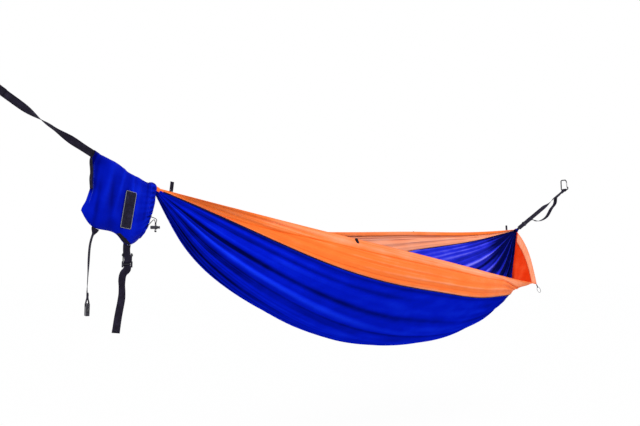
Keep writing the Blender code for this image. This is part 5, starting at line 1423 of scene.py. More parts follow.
def carabiner(name, corner, across, along, body, gate_body):
    """A D-shaped carabiner body and its wire gate."""
    normal = np.cross(across, along)

    def placed(points):
        return [corner + across * p[0] + along * p[1] + normal * p[2] for p in points]

    pivot = np.array([PIVOT_OUT, SPINE_LENGTH - PIVOT_DROP, 0.0])
    nose = np.array([BASKET_LENGTH - NOSE_LEAN, NOSE_HEIGHT, 0.0])
    down = unit(pivot - np.array([TOP_LENGTH, SPINE_LENGTH, 0.0]))
    corners = [nose, (BASKET_LENGTH, 0.0, 0.0), (0.0, 0.0, 0.0), (0.0, SPINE_LENGTH, 0.0),
               (TOP_LENGTH, SPINE_LENGTH, 0.0), pivot + down * BAR_END]
    path = rounded_path(corners, CORNER_RADIUS, 12)
    lean = unit(path[0] - path[1])
    knob = [path[0] + lean * BAR_RADIUS * d for d in (0.45, 0.2)]
    line = np.concatenate([knob, path])
    radius = np.full(len(line), BAR_RADIUS)
    radius[:3] = BAR_RADIUS * np.array([0.55, 0.85, 1.0])
    radius[-1] = BAR_RADIUS * 0.88
    made = bar(f"{name}_carabiner_body", placed(line), radius, body, ALLOY, sides=24)
    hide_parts(f"{name}_carabiner")
    lean = unit((nose[0] - BASKET_LENGTH, nose[1], 0.0))
    inward = np.array([-lean[1], lean[0], 0.0])
    reach = BAR_RADIUS + TOUCH_GAP + WIRE_RADIUS
    far = nose - lean * BAR_RADIUS + inward * reach
    out = np.array([0.0, 0.0, reach])
    tip = np.array([0.0, 0.0, BAR_RADIUS - FOOT_INSET])
    wire = rounded_path([pivot + tip, pivot + out, far + out, far - out, pivot - out, pivot - tip],
                        WIRE_RADIUS * 1.6, 6)
    gate = bar(f"{name}_wire_gate", placed(wire), WIRE_RADIUS, gate_body, GREY_STEEL, sides=14)
    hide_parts(f"{name}_gate")
    ring = [pivot + np.array([math.cos(t), math.sin(t), 0.0]) * (WIRE_RADIUS * 1.5)
            for t in np.linspace(0, math.tau, 20, endpoint=False)]
    for label, side in (("near", 1), ("far", -1)):
        spots = placed([p + np.array([0.0, 0.0, side * BAR_RADIUS * 0.96]) for p in ring])
        bar(f"{name}_gate_rim_{label}", spots, 0.0003, body, STEEL, sides=6, closed=True)


carabiner("head", *head_carabiner_frame(), BED, "head_gate")
carabiner("foot", FOOT_EYE + Y_AXIS * BASKET_LENGTH / 2, -Y_AXIS, Z_AXIS, "foot_carabiner", "foot_gate")
print("carabiners", SPINE_LENGTH, "m along the spine")

# %% [markdown]
# ## Loops on the edges, the corner tab and its ring
# Four short loops of narrow webbing stand on the edges, for a net or a line. They are folded in half and sewn
# through the hem. A small tab at the free corner holds a thin oval ring.

# %% Loops, tab and ring
LOOP_WIDTH = 0.012
LOOP_BEND = 0.0016
# Each loop: its share along the edge, its height, its lean and whether it falls over the edge
LOOPS = {"tie_loop_near_head": (0.0188, 0.033, -0.14, False), "tie_loop_near_mid": (0.278, 0.02, 0.45, True),
         "tie_loop_far_mid": (0.69, 0.018, 0.3, True), "tie_loop_far_foot": (0.975, 0.03, 0.05, False)}
LOOP_CLEAR = 0.0042
TAB_WIDTH = 0.004
TAB_LENGTH = 0.018
TAB_PLAY = 0.0015
RING_WIDTH = 0.018
RING_LENGTH = 0.034
RING_WIRE = 0.0012
RING_SLANT = 22.0


def edge_loop(name, line, share, height, lean, falls):
    """A short loop of webbing on a cloth edge, standing up or falling to the outside."""
    i = int(np.searchsorted(SHARES, share))
    f = (share - SHARES[i - 1]) / (SHARES[i] - SHARES[i - 1])
    place = line[i - 1] * (1 - f) + line[i] * f
    direction = unit(line[i + 1] - line[i - 2])
    up = unit(Z_AXIS - direction * direction[2])
    tip = unit(up + direction * lean)
    base = place + up * (CLOTH_THICKNESS / 2 + TOUCH_GAP)
    if falls:
        outward = unit(np.cross(direction, Z_AXIS)) * (1 if direction[0] * place[1] < 0 else -1)
        base = place + outward * LOOP_CLEAR + up * 0.001
        tip = unit(outward * 0.3 - up + direction * lean)
    side = unit(np.cross(direction, tip))
    r = LOOP_BEND
    spots = [(0.0, r * 0.9), (0.3, r), (0.8, r), (0.95, r * 0.7), (1.0, 0.0), (0.95, -r * 0.7), (0.8, -r),
             (0.3, -r), (0.0, -r * 0.9)]
    path = fine_path([base + tip * height * a + side * b for a, b in spots], 5)
    made = strap(f"{name}_webbing", path, direction, LOOP_WIDTH, BED, 0.0011)
    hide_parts(name)
    bartack(f"{name}_bartack", base + tip * 0.0035 + side * r, tip, direction, LOOP_WIDTH * 0.8, 0.003, BED,
            PALE_THREAD, lift=-0.0008)
    return made


def corner_fittings(corner):
    """The tab at the free foot corner and the ring that hangs in it."""
    lateral = unit(END_BOW_TO)
    start = corner - Z_AXIS * (CLOTH_THICKNESS / 2 + TOUCH_GAP)
    turn = math.radians(RING_SLANT)
    down = -Z_AXIS * math.cos(turn) + lateral * math.sin(turn)
    out = np.cross(lateral, Z_AXIS)
    wide = np.cross(down, out)
    r = RING_WIRE + TAB_PLAY + 0.0007
    pivot = start + down * TAB_LENGTH
    spots = [(-TAB_LENGTH, r * 0.5), (-TAB_LENGTH * 0.4, r * 0.8), (0.0, r), (r * 0.7, r * 0.7), (r, 0.0),
             (r * 0.7, -r * 0.7), (0.0, -r), (-TAB_LENGTH * 0.4, -r * 0.8), (-TAB_LENGTH * 0.9, -r * 0.5)]
    tab = strap("corner_tab_webbing", fine_path([pivot + down * a + out * b for a, b in spots], 5), wide,
                TAB_WIDTH, BED, 0.0011)
    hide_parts("corner_tab")
    oval = [pivot + wide * RING_WIDTH / 2 * math.sin(t) + down * RING_LENGTH / 2 * (1 - math.cos(t))
            for t in np.linspace(0, math.tau, 64, endpoint=False)]
    ring = bar("corner_oval_ring", oval, RING_WIRE, "ring", GREY_STEEL, sides=12, closed=True)
    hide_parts("corner_ring")
    return tab


loops = [edge_loop(name, near_edge_line if "near" in name else far_edge_line, *spec)
         for name, spec in LOOPS.items()]
tab = corner_fittings(near_edge_line[-1])
print("loops", len(loops))

# %% [markdown]
# ## The stuff sack
# The sack is a flat sleeve that stays on the head strap and hangs below it like a small pennant. A bent box
# wouldn't have its two curved outlines. They are drawn from the head gather, and a section of the sack runs
# between them at every share.

# %% The sack's form
SACK_TOP = [(-0.226, 0.1092), (-0.195, 0.095), (-0.14, 0.0725), (-0.118, 0.0585), (-0.073, 0.0395),
            (-0.045, 0.03), (-0.014, 0.024)]
SACK_BOTTOM = [(-0.26, -0.081), (-0.219, -0.13), (-0.143, -0.149), (-0.108, -0.18), (-0.08, -0.172),
               (-0.05, -0.137)]
SACK_BASE_BOW = [(0.0, 0.0), (0.15, -0.005), (0.42, 0.006), (0.71, 0.017), (1.0, 0.0)]
SACK_MOUTH_BOW = [(0.0, 0.0), (0.45, 0.01), (0.75, 0.008), (1.0, 0.0)]
SACK_BOW_REACH = 0.22
SACK_TOP_RADIUS = 0.015
SACK_MOUTH_RADIUS = 0.018
SACK_BASE_THIN = 0.0022
SACK_BELLY = 0.0165
SACK_MOUTH_BELLY = 0.0125
SACK_TAPER = 0.03
SACK_KEEL = 0.009
SACK_KEEL_SHARE = 0.55
SACK_WALL = 0.001
SACK_ROWS = 110
SACK_SIDE_POINTS = 60
SACK_POINTS = 2 * SACK_SIDE_POINTS
SECTION_PASSES = 3
HEM_START = 0.905
HEM_BULGE = 0.0042
HEM_EDGE = 0.0013
DRAWSTRING_EXIT = 6


def outline_at(points, share):
    """A place on one of the sack's outlines at a share of its length."""
    line = natural_spline([from_gather(x, z) for x, z in points])
    return on_spline(line, share * line[1][-1])[0]


def sack_bow(share, down):
    """How far a section leans along X at a share of its depth, near the base and the mouth."""
    base = eased(down, SACK_BASE_BOW) * eased(share, [(0.0, 1.0), (SACK_BOW_REACH, 0.0)])
    mouth = eased(down, SACK_MOUTH_BOW) * eased(share, [(1 - SACK_BOW_REACH, 0.0), (1.0, 1.0)])
    return X_AXIS * (base + mouth)


def sack_corners(share):
    """A section's own points: from its top down the near side and up again."""
    high, low = outline_at(SACK_TOP, share), outline_at(SACK_BOTTOM, share)
    radius = eased(share, [(0.0, SACK_TOP_RADIUS), (0.6, SACK_TOP_RADIUS), (1.0, SACK_MOUTH_RADIUS)])
    belly = float(eased(share, [(0.0, SACK_BASE_THIN), (0.3, SACK_BELLY), (0.85, SACK_BELLY),
                                (1.0, SACK_MOUTH_BELLY)]))
    depth = np.linalg.norm(low - high)
    down = (low - high) / depth
    half = [(radius * (1 - math.cos(t)), radius * math.sin(t))
            for t in (0.0, math.pi / 6, math.pi / 3, math.pi / 2)]
    run = depth - radius - SACK_TAPER
    for f in (0.14, 0.4, 0.7, 1.0):
        filled = eased(f, [(0.0, 0.0), (0.14, 1.0)])
        half.append((radius + run * f, radius + (belly - radius) * filled))
    half.append((depth - SACK_KEEL, belly * SACK_KEEL_SHARE))
    near = [high + down * h + sack_bow(share, h / depth) - Y_AXIS * y for h, y in half]
    far = [high + down * h + sack_bow(share, h / depth) + Y_AXIS * y for h, y in half[1:]]
    return np.array(near + [low] + list(reversed(far)))


def sack_section(share):
    """Even points round the sack, from its top down the near side."""
    corners = sack_corners(share)
    loop = np.concatenate([corners, corners[:1]])
    low = len(corners) // 2
    run = run_along(loop)
    at = np.concatenate([np.linspace(start, stop, SACK_SIDE_POINTS, endpoint=False)
                         for start, stop in ((0, run[low]), (run[low], run[-1]))])
    ring = read_along(at, run, loop)
    for _ in range(SECTION_PASSES):
        ring = ring * 0.5 + (np.roll(ring, 1, axis=0) + np.roll(ring, -1, axis=0)) * 0.25
    ring[SACK_SIDE_POINTS] = corners[low]
    return ring


def outward_of(rings):
    """The unit normals of closed rings in rows, away from their middles."""
    around = np.roll(rings, -1, axis=1) - np.roll(rings, 1, axis=1)
    normal = level(np.cross(around, np.gradient(rings, axis=0)))
    away = rings - rings.mean(axis=1, keepdims=True)
    return normal * np.sign((normal * away).sum(axis=(0, 1, 2)))


sack_shares = np.linspace(0, 1, SACK_ROWS)
sack_rings = np.array([sack_section(s) for s in sack_shares])
print("sack", np.ptp(sack_rings[SACK_ROWS // 2][:, 2]).round(3), "m deep at its middle")

# %% [markdown]
# Its nylon is soft, so pulls run down it, and the mouth puckers where the drawstring gathers it. There the
# cloth is folded over the drawstring as a channel.

# %% The sack's cloth and mouth hem
SACK_PULLS = 9
SACK_LENGTH = 0.23
SACK_FLAT = (0.42, 0.24)
BASE_SEAM_FROM = 0.16
MOUTH_PUCKERS = 24
HEM_STEPS = 15
MOUTH_HEM_FLAT = (0.025, 0.38)


def sack_folds(shares, rings):
    """Fold heights outward on the sack, and its tone, which paints shade and highlights on its pulls and
    puckers.
    """
    s = shares[:, None]
    q = np.arange(SACK_POINTS)[None, :] / SACK_POINTS
    down = 1 - abs(2 * q - 1)
    near = np.where(q < 0.5, 1.0, 0.8)
    side = np.where(q < 0.5, 0.0, 3.7)
    height = np.zeros(rings.shape[:2])
    tone = np.zeros_like(height)
    pulls = np.random.default_rng(51)
    for k in range(SACK_PULLS):
        at = (k + 0.6) / 10 + pulls.uniform(-0.03, 0.03)
        slope = pulls.uniform(-0.1, 0.14)
        half = pulls.uniform(0.02, 0.05)
        size = pulls.choice([-1, 1]) * pulls.uniform(0.0006, 0.0018)
        middle = pulls.uniform(0.2, 0.8)
        crease = np.exp(-((s - at - slope * (down - 0.5)) / half) ** 2)
        crease = crease * np.exp(-((down - middle) / 0.36) ** 2)
        height = height + size * crease * near
        tone = tone + np.sign(size) * crease * 0.26
    # Painted shade on the sack's upper part, by its base and beside the mouth hem.
    shaded = np.clip((0.72 - down) / 0.1, 0, 1)
    tone = tone - 0.75 * np.exp(-(s / 0.045) ** 2) * shaded
    tone = tone - 0.3 * np.exp(-((s - 0.865) / 0.025) ** 2) * shaded
    pucker = np.sin(q * math.tau * MOUTH_PUCKERS + 1.3 * soft_noise(s * 3, q * 13, 52))
    pucker = pucker * np.exp(-(1 - s) / 0.1)
    height = height + 0.0011 * pucker
    tone = tone + 0.2 * pucker
    cloud = soft_noise(s * 7 + side, q * 16, 53)
    height = height + 0.0012 * cloud + 0.0005 * soft_noise(s * 19 + side, q * 44, 54)
    calm = np.minimum(1.0, s / 0.06) * np.minimum(1.0, (1 - down) / 0.08)
    return height * calm, 0.5 + tone + 0.1 * cloud


sack_out = outward_of(sack_rings)
sack_height, sack_tone = sack_folds(sack_shares, sack_rings)
sack_cloth_rings = sack_rings + sack_out * sack_height[:, :, None]
sack_faces = grid_faces(SACK_ROWS, SACK_POINTS, wrap=True)
sack_faces += [(k, SACK_POINTS - k, SACK_POINTS - k - 1, k + 1)
               for k in range(int(BASE_SEAM_FROM * SACK_POINTS), SACK_SIDE_POINTS)]
round_it = np.arange(SACK_POINTS)[None, :] / SACK_POINTS * SACK_FLAT[0]
lengths = np.stack(np.broadcast_arrays(sack_shares[:, None] * SACK_LENGTH, round_it), axis=2)
sack = put_mesh("stuff_sack_cloth", sack_cloth_rings, sack_faces, [SACK_BLUE], BED, lengths,
                sack_tone)
thickened(sack, SACK_WALL)
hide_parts("stuff_sack")


def exit_places():
    """Where the drawstring leaves the hem, upper and lower, each with the place before."""
    middle = (HEM_START + 1) / 2
    ring = sack_corners(middle)
    before, after = sack_corners(middle - 0.02), sack_corners(min(middle + 0.02, 1.0))
    around = np.roll(ring, -1, axis=0) - np.roll(ring, 1, axis=0)
    normal = level(np.cross(around, after - before))
    route = ring + normal * (SACK_WALL / 2 + TOUCH_GAP + 0.00125)
    return [route[DRAWSTRING_EXIT + step] for step in (0, -1, 1, 2)]


def mouth_hem():
    """The drawstring channel: the mouth folded out, open where the cord comes out."""
    upper, _, lower, _ = exit_places()
    shares = np.linspace(HEM_START, 1.0, HEM_STEPS)
    rings = np.array([sack_section(s) for s in shares])
    out = outward_of(rings)
    middle = rings[HEM_STEPS // 2]
    start, stop = [int(np.argmin(np.linalg.norm(middle - place, axis=1))) for place in (upper, lower)]
    order = [(start - k) % SACK_POINTS for k in range((start - stop) % SACK_POINTS + 1)]
    across = np.linspace(0, 1, HEM_STEPS)
    bulge = HEM_EDGE + (HEM_BULGE - HEM_EDGE) * np.sin(across * math.pi) ** 0.7
    rows, tone = [], []
    for j in order:
        wave = math.sin(j / SACK_POINTS * math.tau * MOUTH_PUCKERS)
        pucker = 0.0007 * wave * np.sin(across * math.pi)
        rows.append(rings[:, j] + out[:, j] * (bulge + pucker)[:, None])
        # Painted highlights and shade on the puckers, and a darker middle along the channel.
        tone.append(0.5 + 0.24 * wave * np.sin(across * math.pi) + 0.1 * np.cos(across * math.tau))
    rows = np.array(rows)
    hem = cloth("sack_mouth_hem_cloth", rows, np.array(tone), (SACK_BLUE,), 0.0008, "blue_cloth",
                MOUTH_HEM_FLAT[0])
    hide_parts("sack_mouth_hem")
    outward = out[1][order]
    stitches = stitch_row("mouth_hem_stitches", rows[:, 1] + outward * 0.0005, outward, BED, BLUE_THREAD,
                          pitch=0.003)
    return hem, stitches


mouth, mouth_stitches = mouth_hem()
print("hem vertices", len(mouth.data.vertices))

# %% [markdown]
# The base is closed by a tape folded over its raw edge. The patch on the near wall stays bare: a woven ground
# with a plain grey border sewn round it.

# %% Base binding and bare patch
BINDING_WIDTH = 0.0034
BINDING_WALL = 0.0012
BINDING_FROM, BINDING_TO = 0.14, 0.64
BINDING_STEPS = (0.0, 0.33, 0.66, 1.0)
BINDING_SPREAD = 0.0024
BINDING_ROWS = 30
STRIP_SPAN = (-0.145, -0.097)
STRIP_WIDTHS = [(-0.145, 0.003), (-0.136, 0.013), (-0.118, 0.017), (-0.106, 0.012), (-0.097, 0.004)]
STRIP_LIFT = 0.0014
STRIP_EDGE = 0.0016
PATCH_WIDTH = 0.038
PATCH_HEIGHT = 0.122
PATCH_THICKNESS = 0.0009
PATCH_CORNER = 0.003
PATCH_AT = (-0.114, -0.07)
PATCH_TILT = 8.3
# From the back edge round to the face: how far in, and how far towards the sack
PATCH_SECTION = ((0.0, 0.0004), (0.0, -0.0003), (0.0004, -0.0005), (0.003, -0.00055), (0.01, -0.0006))
STITCH_COLUMNS = slice(int(SACK_SIDE_POINTS * 0.22), int(SACK_SIDE_POINTS * 0.86))


def base_binding():
    """Tape folded over the sewn edge of the sack's base."""
    high, low = outline_at(SACK_TOP, 0.0), outline_at(SACK_BOTTOM, 0.0)
    half = SACK_BASE_THIN + SACK_WALL / 2 + TOUCH_GAP * 2 + BINDING_WALL / 2
    rows = []
    for f in np.linspace(BINDING_FROM, BINDING_TO, BINDING_ROWS):
        place = high + (low - high) * f + sack_bow(0.0, f)
        slope = high + (low - high) * (f + 0.01) + sack_bow(0.0, f + 0.01) - place
        inward = unit(np.cross(Y_AXIS, slope))
        inward = inward if inward[0] > 0 else -inward
        reach = SACK_WALL / 2 + TOUCH_GAP * 3 + BINDING_WALL / 2
        row = [place + inward * BINDING_WIDTH * g - Y_AXIS * (half + BINDING_SPREAD * g)
               for g in reversed(BINDING_STEPS)]
        row += [place - inward * reach * math.cos(t) + Y_AXIS * half * math.sin(t)
                for t in np.linspace(-1.3, 1.3, 7)]
        row += [place + inward * BINDING_WIDTH * g + Y_AXIS * (half + BINDING_SPREAD * g)
                for g in BINDING_STEPS]
        rows.append(row)
    rows = np.array(rows)
    tone = np.full(rows.shape[:2], 0.5)
    made = cloth("sack_base_tape", rows, tone, (WEBBING,), BINDING_WALL, "webbing", 0.02)
    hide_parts("sack_base_binding")
    stitch_row("base_tape_stitches", rows[:, 1] - Y_AXIS * 0.0007,
               np.repeat(-Y_AXIS[None], BINDING_ROWS, axis=0), BED, BLACK_THREAD)
    return made


def bare_patch():
    """The patch on the near wall, bare, with its sewn border."""
    turn = math.radians(PATCH_TILT)
    up = np.array([math.sin(turn), 0.0, math.cos(turn)])
    wide = np.array([math.cos(turn), 0.0, -math.sin(turn)])
    out = SACK_BELLY + SACK_WALL / 2 + TOUCH_GAP + PATCH_THICKNESS / 2
    middle = from_gather(*PATCH_AT, y=-out)
    x, y = PATCH_WIDTH / 2, PATCH_HEIGHT / 2
    square = [(x, y, 0), (-x, y, 0), (-x, -y, 0), (x, -y, 0)]
    edge = rounded_path(square, PATCH_CORNER, 6, closed=True)
    rings, lengths = [], []
    for shrink, depth in PATCH_SECTION:
        ring = edge * np.array([1 - shrink / x, 1 - shrink / y, 1.0])
        rings.append(middle + ring[:, :1] * wide + ring[:, 1:2] * up + Y_AXIS * depth)
        lengths.append(ring[:, :2])
    faces = grid_faces(len(rings), len(edge), wrap=True)
    faces += [tuple(range(4 * len(edge), 5 * len(edge))), tuple(range(len(edge)))]
    made = put_mesh("bare_label_patch", rings, faces, [PATCH], BED, lengths, closed=True)
    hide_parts("label_patch")
    ring = edge * np.array([1 - 0.0016 / x, 1 - 0.0016 / y, 1.0])
    line = middle + ring[:, :1] * wide + ring[:, 1:2] * up - Y_AXIS * 0.0007
    bar("patch_border", line, 0.0007, BED, GREY_BORDER, sides=8, closed=True)
    return made


def base_stitches():
    """A pale row of thread on the near wall, beside the base edge."""
    outward = sack_out[5, STITCH_COLUMNS]
    line = sack_cloth_rings[5, STITCH_COLUMNS] + outward * (SACK_WALL / 2 + 0.0004)
    return stitch_row("base_edge_stitches", line, outward, BED, SACK_THREAD, pitch=0.0052)


def strap_strip():
    """The part of the closure strap's webbing that is sewn flat to the sack."""
    kept = slice(SACK_SIDE_POINTS, SACK_SIDE_POINTS - 9, -1)
    rows = []
    for x in np.linspace(*STRIP_SPAN, 26):
        i = int(np.argmin(abs(sack_cloth_rings[:, SACK_SIDE_POINTS, 0] - HEAD_GATHER[0] - x)))
        wide = eased(x, STRIP_WIDTHS)
        spine, out = sack_cloth_rings[i, kept], sack_out[i, kept].copy()
        out[0] = -Y_AXIS
        at = np.linspace(STRIP_EDGE, wide + STRIP_EDGE, 9)
        rows.append(read_along(at, run_along(spine), spine + out * STRIP_LIFT))
    return cloth("sack_strap_strip", rows, np.full((26, 9), 0.5), (WEBBING,), 0.0012, "webbing", 0.016)


tape = base_binding()
patch = bare_patch()
edge_stitches = base_stitches()
strip = strap_strip()
print("patch", PATCH_WIDTH, "x", PATCH_HEIGHT, "m")

# %% [markdown]
# ## The drawstring and its cord lock
# Two strands leave the hem and go down through the cord lock to one knot. Each is a bevelled curve, so it can
# be made again as a soft cord. The lock's barrel and its button are moulded and keep the frame's shapes.

# %% Drawstring strands and knot
CORD_RADIUS = 0.00125
CORD_GAP = 0.0008
STRAND_SPACING = 0.003
STRAND_STRAIGHT = 0.003
STRAND_OUT = (0.0055, 0.004)
STRAND_BULGES = (-0.003, 0.0018)
STRAND_POINTS = 60
STRAND_ABOVE_LOCK = (0.024, 0.016, 0.008)
LOCK_MIDDLE = from_gather(-0.0205, -0.121, -0.0245)
LOCK_YAW = math.radians(-46.0)
LOCK_PRESS = np.array([math.cos(LOCK_YAW), math.sin(LOCK_YAW), 0.0])
BARREL_RADIUS = 0.0055
KNOT_RADIUS = 0.0034
KNOT_DROP = 0.0035
KNOT_TOP = LOCK_MIDDLE - Z_AXIS * (BARREL_RADIUS + KNOT_DROP)


def strand(node, start, before, side, bulge):
    """One free strand of the drawstring as a curve, from the hem through the lock to the knot."""
    leaving = unit(start - before)
    foot = LOCK_MIDDLE + LOCK_PRESS * side * STRAND_SPACING / 2
    first = start + leaving * CORD_GAP
    third = first + leaving * STRAND_OUT[0] - Y_AXIS * STRAND_OUT[1]
    high, middling, low = STRAND_ABOVE_LOCK
    points = [first, first + leaving * STRAND_STRAIGHT, third, foot + Z_AXIS * high + X_AXIS * bulge,
              foot + Z_AXIS * middling, foot + Z_AXIS * low, foot,
              KNOT_TOP + LOCK_PRESS * side * STRAND_SPACING / 2]
    spline = natural_spline(points)
    path = on_spline(spline, np.linspace(0, spline[1][-1], STRAND_POINTS))
    curve = bpy.data.curves.new(f"{node}_strand", "CURVE")
    curve.dimensions = "3D"
    curve.bevel_depth = CORD_RADIUS
    curve.bevel_resolution = 4
    curve.use_fill_caps = True
    line = curve.splines.new("POLY")
    line.points.add(len(path) - 1)
    for point, place in zip(line.points, path):
        point.co = (*place.tolist(), 1.0)
    curve.materials.append(CORD)
    obj = put_in_scene(f"{node}_strand", curve)
    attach(obj, BED)
    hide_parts(node)
    return obj, first, float(np.linalg.norm(np.diff(path, axis=0), axis=1).sum())


def knot(top):
    """An overhand knot: a small trefoil of cord pulled tight."""
    middle = top - Z_AXIS * (KNOT_RADIUS + TOUCH_GAP)
    spots = []
    for t in np.linspace(0, math.tau, 60, endpoint=False):
        radius = KNOT_RADIUS * 0.42 * (1.35 + 0.55 * math.cos(3 * t))
        rise = KNOT_RADIUS * 0.5 * math.sin(3 * t)
        spots.append(middle + np.array([radius * math.cos(2 * t), radius * math.sin(2 * t), rise]))
    made = bar("drawstring_overhand_knot", spots, CORD_RADIUS, BED, CORD, sides=12, closed=True)
    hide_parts("drawstring_knot")
    return made


upper, upper_before, lower, lower_before = exit_places()
overhand = knot(KNOT_TOP)
front, front_exit, front_length = strand("drawstring_front", lower, lower_before, -1, STRAND_BULGES[0])
back, back_exit, back_length = strand("drawstring_back", upper, upper_before, 1, STRAND_BULGES[1])
print("strands", round(front_length, 4), round(back_length, 4), "m")

# %% [markdown]
# ## The sack's two straps
# One wide strap goes through the male half of a side-release buckle, over its bar and out again. A second is
# looped round the bar of the female half, which hangs nearly edge on. Each sewn end takes the curve of the
# sack's edge.

# %% Closure strap and anchor strap
CLOSURE_DROP = 0.0005
ANCHOR_DROP = 0.0004
CLOSURE_TOP = -0.106
CLOSURE_UPPER = [(-0.1072, -0.197), (-0.1045, -0.213)]
CLOSURE_LOWER = [(-0.111, -0.266), (-0.1195, -0.289), (-0.118, -0.334), (-0.126, -0.392),
                 (-0.1345, -0.456)]
CLOSURE_TURNS = [(0.0, 0.0), (0.11, 0.0), (0.128, 11.0), (0.15, 6.0), (0.17, -4.0), (0.29, -11.0)]
CLOSURE_ROOT = 0.035
CLOSURE_FACING = 90
BUCKLE_AT = (-0.102, -0.2312)
BUCKLE_THICKNESS = 0.0036
BUCKLE_RAIL = 0.002
BUCKLE_SLOT = 0.007
BUCKLE_BAR = 0.003
ANCHOR_TOP = -0.2122
ANCHOR_PATH = [(-0.2205, -0.154), (-0.2275, -0.182), (-0.23, -0.219), (-0.231, -0.285), (-0.2315, -0.325)]
FEMALE_AT = (-0.2295, -0.363)
FEMALE_BAR = 0.004
ANCHOR_ROOT = 0.022
ROOT_RINGS = 7
ANCHOR_TURNS = [(0.045, -38.0), (0.09, -38.0), (0.16, -28.0), (0.21, -17.0)]


def sack_edge(x, drop):
    """A place just below the sack's bottom outline, and its slant there."""
    line = natural_spline([from_gather(a, b) for a, b in SACK_BOTTOM])
    places = on_spline(line, np.linspace(0, line[1][-1], 400))
    i = int(np.argmin(abs(places[:, 0] - HEAD_GATHER[0] - x)))
    slant = unit(places[i + 1] - places[i - 1])
    below = np.cross(slant, Y_AXIS)
    below = below if below[2] < 0 else -below
    return places[i] + below * (SACK_WALL / 2 + drop), slant


def hanging(degrees):
    """A level direction turned about the vertical from across the hammock."""
    turn = math.radians(float(degrees))
    return Y_AXIS * math.cos(turn) - X_AXIS * math.sin(turn)


def turning(path, top, slant, root, turns, facing=0):
    """The way of a strap's width: along the sack's edge at its sewn end, then as it hangs."""
    across = []
    for place in path:
        drop = top[2] - place[2]
        share = eased(drop, [(0.0, 0.0), (root, 1.0)])
        across.append(unit(slant * (1 - share) + hanging(eased(drop, turns) - facing) * share))
    return across


def follow_edge(obj, path, across, x, drop, slant):
    """Give a strap's square end the curve of the sack's edge above it."""
    spots = obj.data.vertices
    for i in range(ROOT_RINGS):
        for vertex in spots[i * len(STRAP_SECTION):(i + 1) * len(STRAP_SECTION)]:
            place = np.array(vertex.co)
            side = float((place - path[i]) @ across[i])
            rise = sack_edge(x + side * slant[0], drop)[0] - (path[0] + slant * side)
            vertex.co = (place + rise * (1 - i / ROOT_RINGS)).tolist()
    obj.data.update()


def closure_strap():
    """The wide closure strap, sewn to the sack and woven through the male buckle."""
    top, slant = sack_edge(CLOSURE_TOP, CLOSURE_DROP)
    body = 2 * BUCKLE_RAIL + 2 * BUCKLE_SLOT + BUCKLE_BAR
    depth = BUCKLE_THICKNESS / 2 + WEBBING_THICKNESS / 2 + TOUCH_GAP * 2
    x, z = BUCKLE_AT
    slot_1 = BUCKLE_RAIL + BUCKLE_SLOT / 2
    bar_at = body / 2
    slot_2 = body - slot_1
    weave = [(0.0, 0.004), (0.0, -0.0003), (depth * 0.07, -slot_1 + 0.0031), (depth, -slot_1),
             (depth * 1.93, -slot_1 - 0.0033), (depth * 2, -bar_at), (depth * 1.93, -slot_2 + 0.0033),
             (depth, -slot_2), (depth * 0.07, -slot_2 - 0.0031), (0.0, -body + 0.0003), (0.0, -body - 0.004)]
    points = [top] + [from_gather(a, b) for a, b in CLOSURE_UPPER]
    points += [from_gather(x, z + down, y) for y, down in weave]
    points += [from_gather(a, b) for a, b in CLOSURE_LOWER]
    path = fine_path(points, 7)
    across = turning(path, top, slant, CLOSURE_ROOT, CLOSURE_TURNS, CLOSURE_FACING)
    made = strap("closure_strap_webbing", path, across, WEBBING_WIDTH, "closure")
    follow_edge(made, path, across, CLOSURE_TOP, CLOSURE_DROP, slant)
    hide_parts("closure_strap")
    end = path[-1]
    folded = [end + Z_AXIS * h + Y_AXIS * 0.0016 + X_AXIS * h * 0.16 for h in (0.0, 0.006, 0.012)]
    strap("closure_strap_end_fold", folded, across[-1], WEBBING_WIDTH * 0.98, "closure")
    bartack("closure_end_bartack", end + Z_AXIS * 0.008 + X_AXIS * 0.0013, across[-1], Z_AXIS, 0.004, 0.02,
            "closure", lift=0.0008)
    bartack("closure_top_bartack", path[3], across[3], path[6] - path[3], 0.003, 0.018, "closure")
    return made


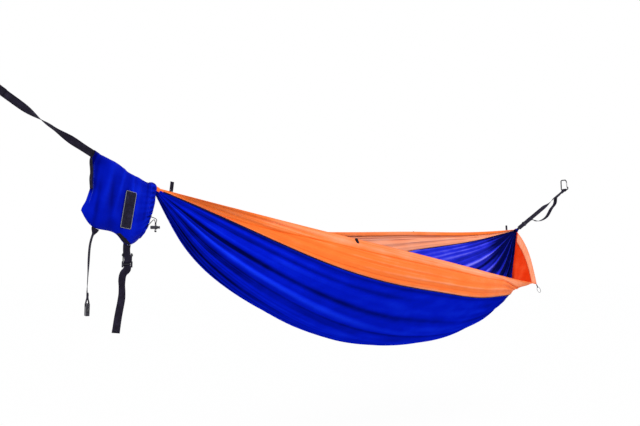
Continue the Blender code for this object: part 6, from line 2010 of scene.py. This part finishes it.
def anchor_strap():
    """The strap on the sack's lower corner, looped round the female buckle's bar."""
    top, slant = sack_edge(ANCHOR_TOP, ANCHOR_DROP)
    r = FEMALE_BAR / math.sqrt(2) + TOUCH_GAP + WEBBING_THICKNESS / 2
    x, z = FEMALE_AT
    hung = hanging(ANCHOR_TURNS[-1][1])
    out = np.cross(hung, Z_AXIS)
    loop = [(-LAYER * 0.8, 0.026), (-LAYER * 0.8, 0.018), (-r, 0.006)]
    loop += [(-r * math.cos(t), -r * math.sin(t))
             for t in (0.0, math.pi / 4, math.pi / 2, 3 * math.pi / 4, math.pi)]
    loop += [(r, 0.006), (LAYER * 0.6, 0.018), (LAYER * 0.5, 0.026), (LAYER * 0.5, 0.034)]
    points = [top] + [from_gather(a, b) for a, b in ANCHOR_PATH]
    points += [from_gather(x, z + b) + out * a for a, b in loop]
    path = fine_path(points, 7)
    across = turning(path, top, slant, ANCHOR_ROOT, ANCHOR_TURNS)
    made = strap("anchor_strap_webbing", path, across, WEBBING_WIDTH, "anchor")
    follow_edge(made, path, across, ANCHOR_TOP, ANCHOR_DROP, slant)
    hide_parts("anchor_strap")
    spot = from_gather(x, z + 0.027) + out * LAYER * 0.5
    bartack("anchor_bartack", spot, hung, Z_AXIS, 0.004, 0.018, "anchor")
    bartack("anchor_top_bartack", path[3], across[3], path[6] - path[3], 0.003, 0.018, "anchor")
    return made


print("sack straps", closure_strap().name, anchor_strap().name)

# %% [markdown]
# ## Moulded and metal parts that keep their shapes
# These come from the frame as they are. The moulded ones get a small rounded edge, as moulding leaves one,
# and all get their finish.

# %% Finish the frame's own hard pieces
MOULDED = ["strap_keeper", "buckle_male", "buckle_arm_left", "buckle_arm_right", "buckle_female",
           "cord_lock_barrel", "cord_lock_plunger"]


def dressed(name, finish, edge):
    """A piece of the frame with its finish and its rounded edges."""
    obj = bpy.data.objects[name]
    obj.data.materials.clear()
    obj.data.materials.append(finish)
    if edge:
        weld = obj.modifiers.new("joined", "WELD")
        weld.merge_threshold = 0.00002
        rounded = obj.modifiers.new("rounded_edges", "BEVEL")
        rounded.width = edge
        rounded.segments = 2
        rounded.limit_method = "ANGLE"
        rounded.angle_limit = math.radians(32)
        rounded.harden_normals = True
    return obj


for name in MOULDED:
    dressed(name, PLASTIC, 0.0003)
dressed("cord_lock_spring", GREY_STEEL, 0.0)
dressed("drawstring_run", CORD, 0.0)
print("dressed", len(MOULDED) + 2, "pieces of the frame")

# %% [markdown]
# ## What is soft
# Two free cords and six sheets are soft.

print("soft: 2 cords and 6 sheets")
